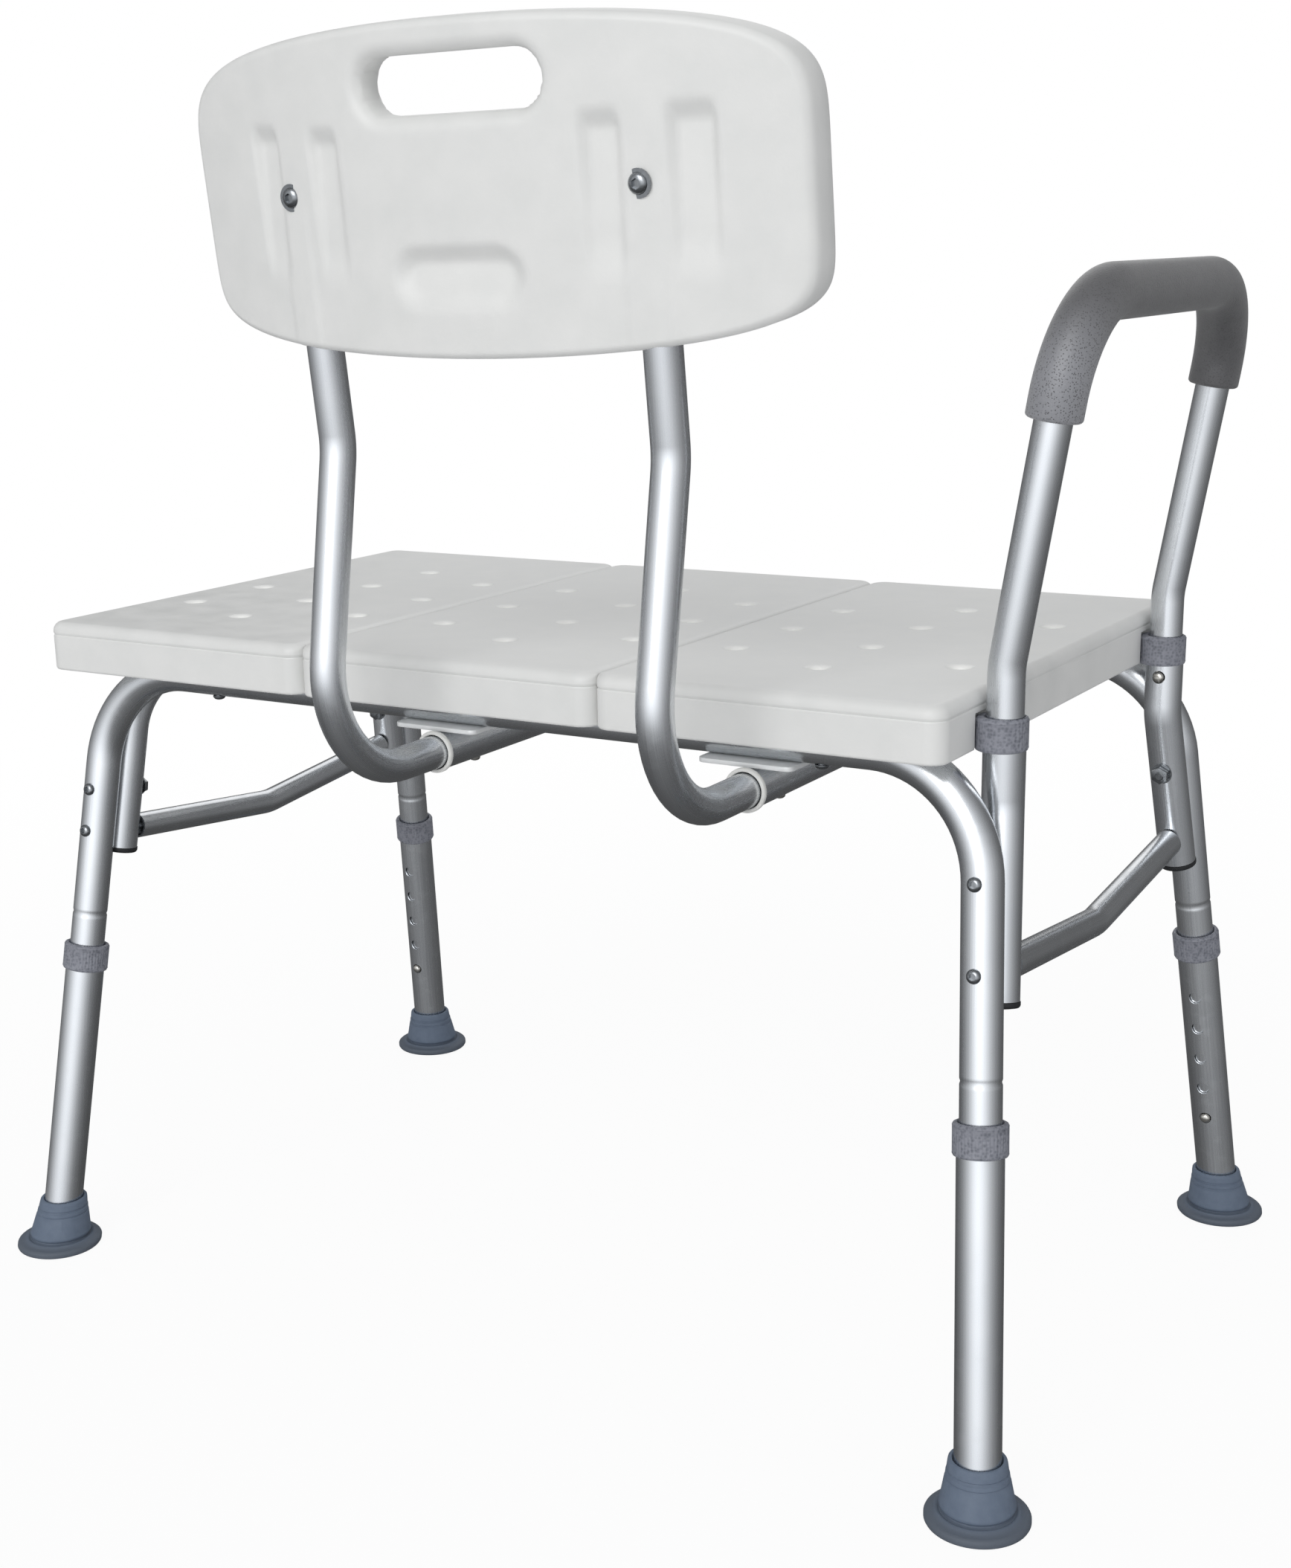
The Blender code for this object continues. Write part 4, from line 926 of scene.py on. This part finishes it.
def panel_reach(u, v):
    """How near a point is to the panel's outline: 1 on it, and less inside."""
    square = squareness(v)
    return abs(u) ** square[0] + abs(v) ** square[1]


def outline_share(u, v):
    """How far the outline lies along the ray through a point, as a share of the way to that point."""
    near, far = 0.0, 1.0
    for _ in range(30):
        middle = (near + far) / 2
        near, far = (middle, far) if panel_reach(u * middle, v * middle) < 1.0 else (near, middle)
    return far


def rim_drop(inward, radius):
    """How far a rounded rim falls away at a distance inward from its edge."""
    short = radius - min(radius, max(0.0, inward))
    return radius - math.sqrt(radius * radius - short * short)


def panel_sag(x):
    """How far the curved panel falls away from flat at a distance from its middle."""
    return x * x / (2 * PANEL_CURVE_RADIUS)


def panel_sheet(face):
    """One face of the panel, as a fine grid drawn to the outline and rounded off at its rim and slot."""
    bm = bmesh.new()
    bmesh.ops.create_grid(bm, x_segments=210, y_segments=110, size=1.0)
    for vertex in bm.verts:
        u, v = (0.30 * share + 0.70 * math.sin(share * math.pi / 2) for share in vertex.co.xy)
        reach = max(abs(u), abs(v), 1e-9)
        share = 1.0 + (outline_share(u / reach, v / reach) - 1.0) * reach ** 4
        u, v = u * share, v * share
        x, z = u * PANEL_HALF[0], v * PANEL_HALF[1]
        square = squareness(v)
        slope_x = square[0] * abs(u) ** (square[0] - 1.0) / PANEL_HALF[0]
        slope_z = square[1] * abs(v) ** (square[1] - 1.0) / PANEL_HALF[1]
        inward = (1.0 - panel_reach(u, v)) / max(math.hypot(slope_x, slope_z), 1e-6)
        slot = stadium_distance(x - SLOT_MIDDLE[0], z - SLOT_MIDDLE[1], SLOT_SIZE[0] / 2, SLOT_SIZE[1] / 2)
        drop = rim_drop(inward, PANEL_RIM) + rim_drop(slot, SLOT_RIM)
        sunk = rear_relief(x, z) if face > 0 else 0.0
        vertex.co = (x, face * (PANEL_THICKNESS / 2 - drop) - sunk - panel_sag(x), z)
    return bm


rise = Vector((0.0, UPRIGHT_TOP[0] - UPRIGHT_KINK[0], UPRIGHT_TOP[1] - UPRIGHT_KINK[1])).normalized()
panel_tilt = Matrix.Rotation(-math.atan2(rise.y, rise.z), 4, "X")
panel_frame = Matrix.Translation((BACK_MIDDLE_X, *PANEL_MIDDLE)) @ panel_tilt
panel = merged([panel_sheet(1), panel_sheet(-1)])
bmesh.ops.bridge_loops(panel, edges=[edge for edge in panel.edges if edge.is_boundary])
bmesh.ops.recalc_face_normals(panel, faces=panel.faces)
slot = softened_plate((*SLOT_SIZE, 0.09), SLOT_SIZE[1] * 0.499, 0.0005)
place = Matrix.Translation((SLOT_MIDDLE[0], 0.0, SLOT_MIDDLE[1]))
slot.transform(place @ Matrix.Rotation(math.pi / 2, 4, "X"))
panel = carved(panel, slot)
panel.transform(panel_frame)
tops = [Vector((x, *UPRIGHT_TOP)) for _, x in UPRIGHTS]
sockets = [(top - rise * SOCKET_BELOW, top + rise * SOCKET_ABOVE, SOCKET_RADIUS, 48) for top in tops]
panel = bored(panel, sockets)
fit("back_panel_moulded", panel, polyethylene, body="backrest", sharp=50.0)
rear = panel_tilt.to_3x3() @ Vector((0, 1, 0))
for name, x in UPRIGHTS:
    aside = x - BACK_MIDDLE_X
    place = panel_frame @ Vector((aside, PANEL_THICKNESS / 2 - panel_sag(aside), 0.0))
    bolt = button_head(BACK_BOLT_HEAD, BOLT_SHANK, BACK_BOLT_REACH, [washer(0.0006, 0.0078, 0.0010)])
    fit(f"back_bolt_{name}_plated", bolt, bright_zinc, along_axis(place, rear), "backrest")

# ---- armrest
# An inverted U of 22 mm tube whose legs lean out above the seat and drop into the receivers. A sleeve of
# closed-cell foam is pushed over its top, round both bends, for the forearm and the hand.
ARM_TUBE_END = 0.424
ARM_BEND_HEIGHT = 0.496
ARM_TOP = 0.7052
ARM_LEAN = 0.166
ARM_BEND = 0.058
ARM_LOW_BEND = 0.069
GRIP_RADIUS = 0.0164
GRIP_START = 0.6375
GRIP_OUTER = GRIP_RADIUS - 0.0008
GRIP_EDGE = 0.0022


def arm_route(*heights):
    """The armrest's corners at these heights, up its rear leg and down its front one."""
    leaning = [(RECEIVER[0] - ARM_LEAN * max(0.0, height - ARM_BEND_HEIGHT), height) for height in heights]
    rear = [Vector((x, RECEIVER[1], z)) for x, z in leaning]
    return rear + [Vector((x, -RECEIVER[1], z)) for x, z in reversed(leaning)]


bends = (ARM_LOW_BEND, ARM_BEND, ARM_BEND, ARM_LOW_BEND)
bar = drawn_tube(arm_route(ARM_TUBE_END, ARM_BEND_HEIGHT, ARM_TOP), bends, ARM_TUBE, ARM_WALL, bend_steps=12)
holes = [button_hole(receiver_axis(side, ARM_BUTTON_HEIGHT), (0, -side, 0)) for _, side in SIDES]
fit("armrest_tube_drawn", bored(bar, holes), anodised_aluminium, body="armrest")

# Closed-cell foam: extruded with a thin skin, it is dark grey and full of pinhole pores, painted darker as
# painted shade, with a broad sheen where the skin faces the light. A painted highlight makes the lower part
# of the grip's rear leg paler, where it faces the light. The pores are drawn at 1.3 mm to show.
patterns = (0.018, 4.0), (0.0016, 3.0)
closed_cell_foam, tree, in_place, rubbed, fine = new_finish("closed_cell_foam", "foam", *patterns)
pores = node(tree, "TexVoronoi", {"Vector": in_place, "Scale": 1 / 0.0013})[0]
skin_shade = node(tree, "Mix", {0: rubbed, 6: "#444446", 7: "#5b5b5d"}, data_type="RGBA")[2]
# Painted highlight: the lower part of the grip's rear leg is painted paler, where it faces the light
grip_highlight_axes = node(tree, "SeparateXYZ", {0: in_place})
rear_leg_highlight = {}
for axis, start, full in (("Y", 0.055, 0.125), ("Z", 0.715, 0.66)):
    reach = {0: grip_highlight_axes[axis], 1: start, 2: full}
    rear_leg_highlight[axis] = node(tree, "MapRange", reach, interpolation_type="SMOOTHSTEP")[0]
rear_leg_highlight = node(tree, "Math", {0: rear_leg_highlight["Y"], 1: rear_leg_highlight["Z"]}, operation="MULTIPLY")[0]
skin_with_highlight = node(tree, "Mix", {0: rear_leg_highlight, 6: skin_shade, 7: "#84858a"}, data_type="RGBA")[2]
# Painted shade: the pores are painted darker; the same pattern also dents the skin
pore_depth_and_shade = node(tree, "MapRange", {0: pores, 1: 0.12, 2: 0.40})[0]
shade = node(tree, "Mix", {0: pore_depth_and_shade, 6: "#39393b", 7: skin_with_highlight}, data_type="RGBA")[2]
height = node(tree, "Math", {0: pore_depth_and_shade, 1: fine}, operation="ADD")[0]
relief = node(tree, "Bump", {"Height": height, "Strength": 0.35, "Distance": 0.0004})[0]
surface = {"Base Color": shade, "Roughness": 0.46, "IOR": 1.45, "Normal": relief}
surface |= {"Specular IOR Level": 0.85, "Sheen Weight": 0.25, "Sheen Roughness": 0.6}
node(tree, "OutputMaterial", {0: node(tree, "BsdfPrincipled", surface)[0]})

route = arm_route(GRIP_START, ARM_TOP)
foam = GRIP_RADIUS - ARM_TUBE - 0.0005
grip = drawn_tube(route, (ARM_BEND, ARM_BEND), GRIP_RADIUS, foam, sides=64, bend_steps=24)
rims = [edge for edge in grip.edges if len(edge.link_faces) == 2 and edge.calc_face_angle() > 1.2]
for end in (route[0], route[-1]):
    rims = [edge for edge in rims if all((vertex.co - end).length > GRIP_OUTER for vertex in edge.verts)]
rounded(grip, rims, GRIP_EDGE, 4)
grip_piece = fit("armrest_grip_foam", grip, closed_cell_foam, body="armrest")

# ---- seat panels
# Three hollow panels of the same polyethylene side by side, screwed down on both rails. Each has soft upper
# edges with a fine line sunk under them, a flatter skirt and staggered drain holes in dished mouths, whose
# rims are whitened as a painted highlight. Notches clear the armrest's collars.
SEAT_ENDS = (0.371, -0.3325)
SEAT_DEPTH = 0.420
SEAT_BOTTOM = 0.447
SEAT_TOP = 0.482
SEAT_CORNER = 0.012
SEAT_EDGE = 0.007
SEAT_LOW_EDGE = 0.002
SEAT_LINE = 0.0092
SEAT_LINE_HALF = 0.0013
SEAT_LINE_DEPTH = 0.0007
SEAM_FILL = 0.62
SEAM_GAP = 0.0003
DRAIN_COLUMN = 0.078
DRAIN_ROWS_OUTER = (-0.068, 0.012, 0.092)
DRAIN_ROWS_MIDDLE = (-0.105, -0.027, 0.052, 0.130)
GLINT_REACH = (0.0055, 0.0098)
GLINT_DEPTH = 0.012
COLLAR_NOTCH = 0.017
NOTCH_TOP = 0.4695
RAIL_GROOVE_END = 0.36


def seat_blank(size, outer_side):
    """The panel before its holes: round corners, and a soft upper edge with a fine line sunk under it.

    The edge is shallow where the panel meets its neighbour, so the joint is a wide, soft groove."""
    bm = rounded_block(size, SEAT_CORNER, 10)
    for half, soft, steps in ((1, SEAT_EDGE, 8), (-1, SEAT_LOW_EDGE, 4)):
        rim = [edge for edge in bm.edges if all(vertex.co.z * half > size[2] * 0.49 for vertex in edge.verts)]
        rounded(bm, rim, soft, steps)
    for offset in (-SEAT_LINE_HALF, 0.0, SEAT_LINE_HALF):
        level = (0.0, 0.0, size[2] / 2 - SEAT_LINE + offset)
        whole = [*bm.verts, *bm.edges, *bm.faces]
        bmesh.ops.bisect_plane(bm, geom=whole, plane_co=level, plane_no=(0, 0, 1))
    bm.normal_update()
    for vertex in bm.verts:
        below = size[2] / 2 - vertex.co.z
        inner_end = abs(vertex.co.x) > size[0] / 2 - SEAT_EDGE and vertex.co.x * outer_side <= 0.0
        if abs(below - SEAT_LINE) < 0.0001:
            vertex.co -= vertex.normal * SEAT_LINE_DEPTH
        elif inner_end and below <= SEAT_EDGE:
            to_corner = abs(vertex.co.y) - SEAT_DEPTH / 2
            rounding = smooth(to_corner, -SEAT_CORNER, -0.2 * SEAT_CORNER)
            vertex.co.z += below * SEAM_FILL * (1.0 - rounding)
    return bm


# A drain: a dished mouth above, a straight throat, and a wide cone where the wall is pinched below
drain_foot = SEAT_BOTTOM - SEAT_TOP
drain_profile = (
    (0.0, 0.004), (0.0100, 0.004), (0.0096, 0.0), (0.0086, -0.0002), (0.0070, -0.0008),
    (0.0056, -0.0019), (0.0045, -0.0040), (0.0040, -0.0080), (0.0040, -0.0140), (0.0060, -0.0200),
    (0.0110, drain_foot), (0.0120, drain_foot - 0.003), (0.0, drain_foot - 0.003),
)
routes = [rail_route(side, RAIL_GROOVE_END) for _, side in SIDES]
rails = merged([drawn_tube(route, (RAIL_BEND, RAIL_BEND), FRAME_TUBE + 0.0004, 0.0) for route in routes])
rails = as_mesh("rails", rails)
notches = []
for _, side in SIDES:
    top = receiver_axis(side, NOTCH_TOP) + Vector((ARM_COLLAR[1], 0.0, 0.0))
    notches.append((top - Vector((0.0, 0.0, 0.06)), top, COLLAR_NOTCH, 64))

pitch = (SEAT_ENDS[0] - SEAT_ENDS[1]) / 3
for number, name in enumerate(("arm", "middle", "plain")):
    middle = SEAT_ENDS[1] + pitch * (number + 0.5)
    blank = seat_blank((pitch - SEAM_GAP, SEAT_DEPTH, SEAT_TOP - SEAT_BOTTOM), number - 1)
    bmesh.ops.translate(blank, verts=blank.verts, vec=(middle, 0.0, (SEAT_TOP + SEAT_BOTTOM) / 2))
    places, drains = [], []
    for column, rows in ((-1, DRAIN_ROWS_OUTER), (0, DRAIN_ROWS_MIDDLE), (1, DRAIN_ROWS_OUTER)):
        for row in rows:
            places.append(Vector((middle + column * DRAIN_COLUMN, row, SEAT_TOP)))
            drains.append(lathe(drain_profile, 24))
            bmesh.ops.translate(drains[-1], verts=drains[-1].verts, vec=places[-1])
    seat = bored(carved(carved(blank, merged(drains)), rails), notches)
    # The painted highlight's share: full round each drain's mouth, fading out by 9.8 mm from its middle
    glint_layer = seat.attributes.new("drain_glint", "FLOAT", "POINT")
    for vertex in seat.vertices:
        near = min((vertex.co.xy - place.xy).length for place in places)
        in_mouth = 0.0001 < SEAT_TOP - vertex.co.z < GLINT_DEPTH
        glint_layer.data[vertex.index].value = 1.0 - smooth(near, *GLINT_REACH) if in_mouth else 0.0
    panel = fit(f"seat_panel_{name}_moulded", seat, polyethylene)
    level = panel.modifiers.new("level_shading", "WEIGHTED_NORMAL")
    level.keep_sharp = True

# ---- seat bolts
# Four zinc-plated button-head bolts, put in from below through the rails, that hold the seat panels down.
# Only their heads show, under the rails.
SEAT_BOLT_TOP = 0.474

for tag, end, side in LEGS:
    under_rail = leg_point(end, side, RAIL_HEIGHT) - Vector((0.0, 0.0, FRAME_TUBE))
    under_rail.x = end * SEAT_BOLT_X
    bolt = button_head(BOLT_HEAD, BOLT_SHANK, SEAT_BOLT_TOP - under_rail.z)
    fit(f"seat_bolt_{tag}_plated", bolt, bright_zinc, along_axis(under_rail, (0, 0, -1)))
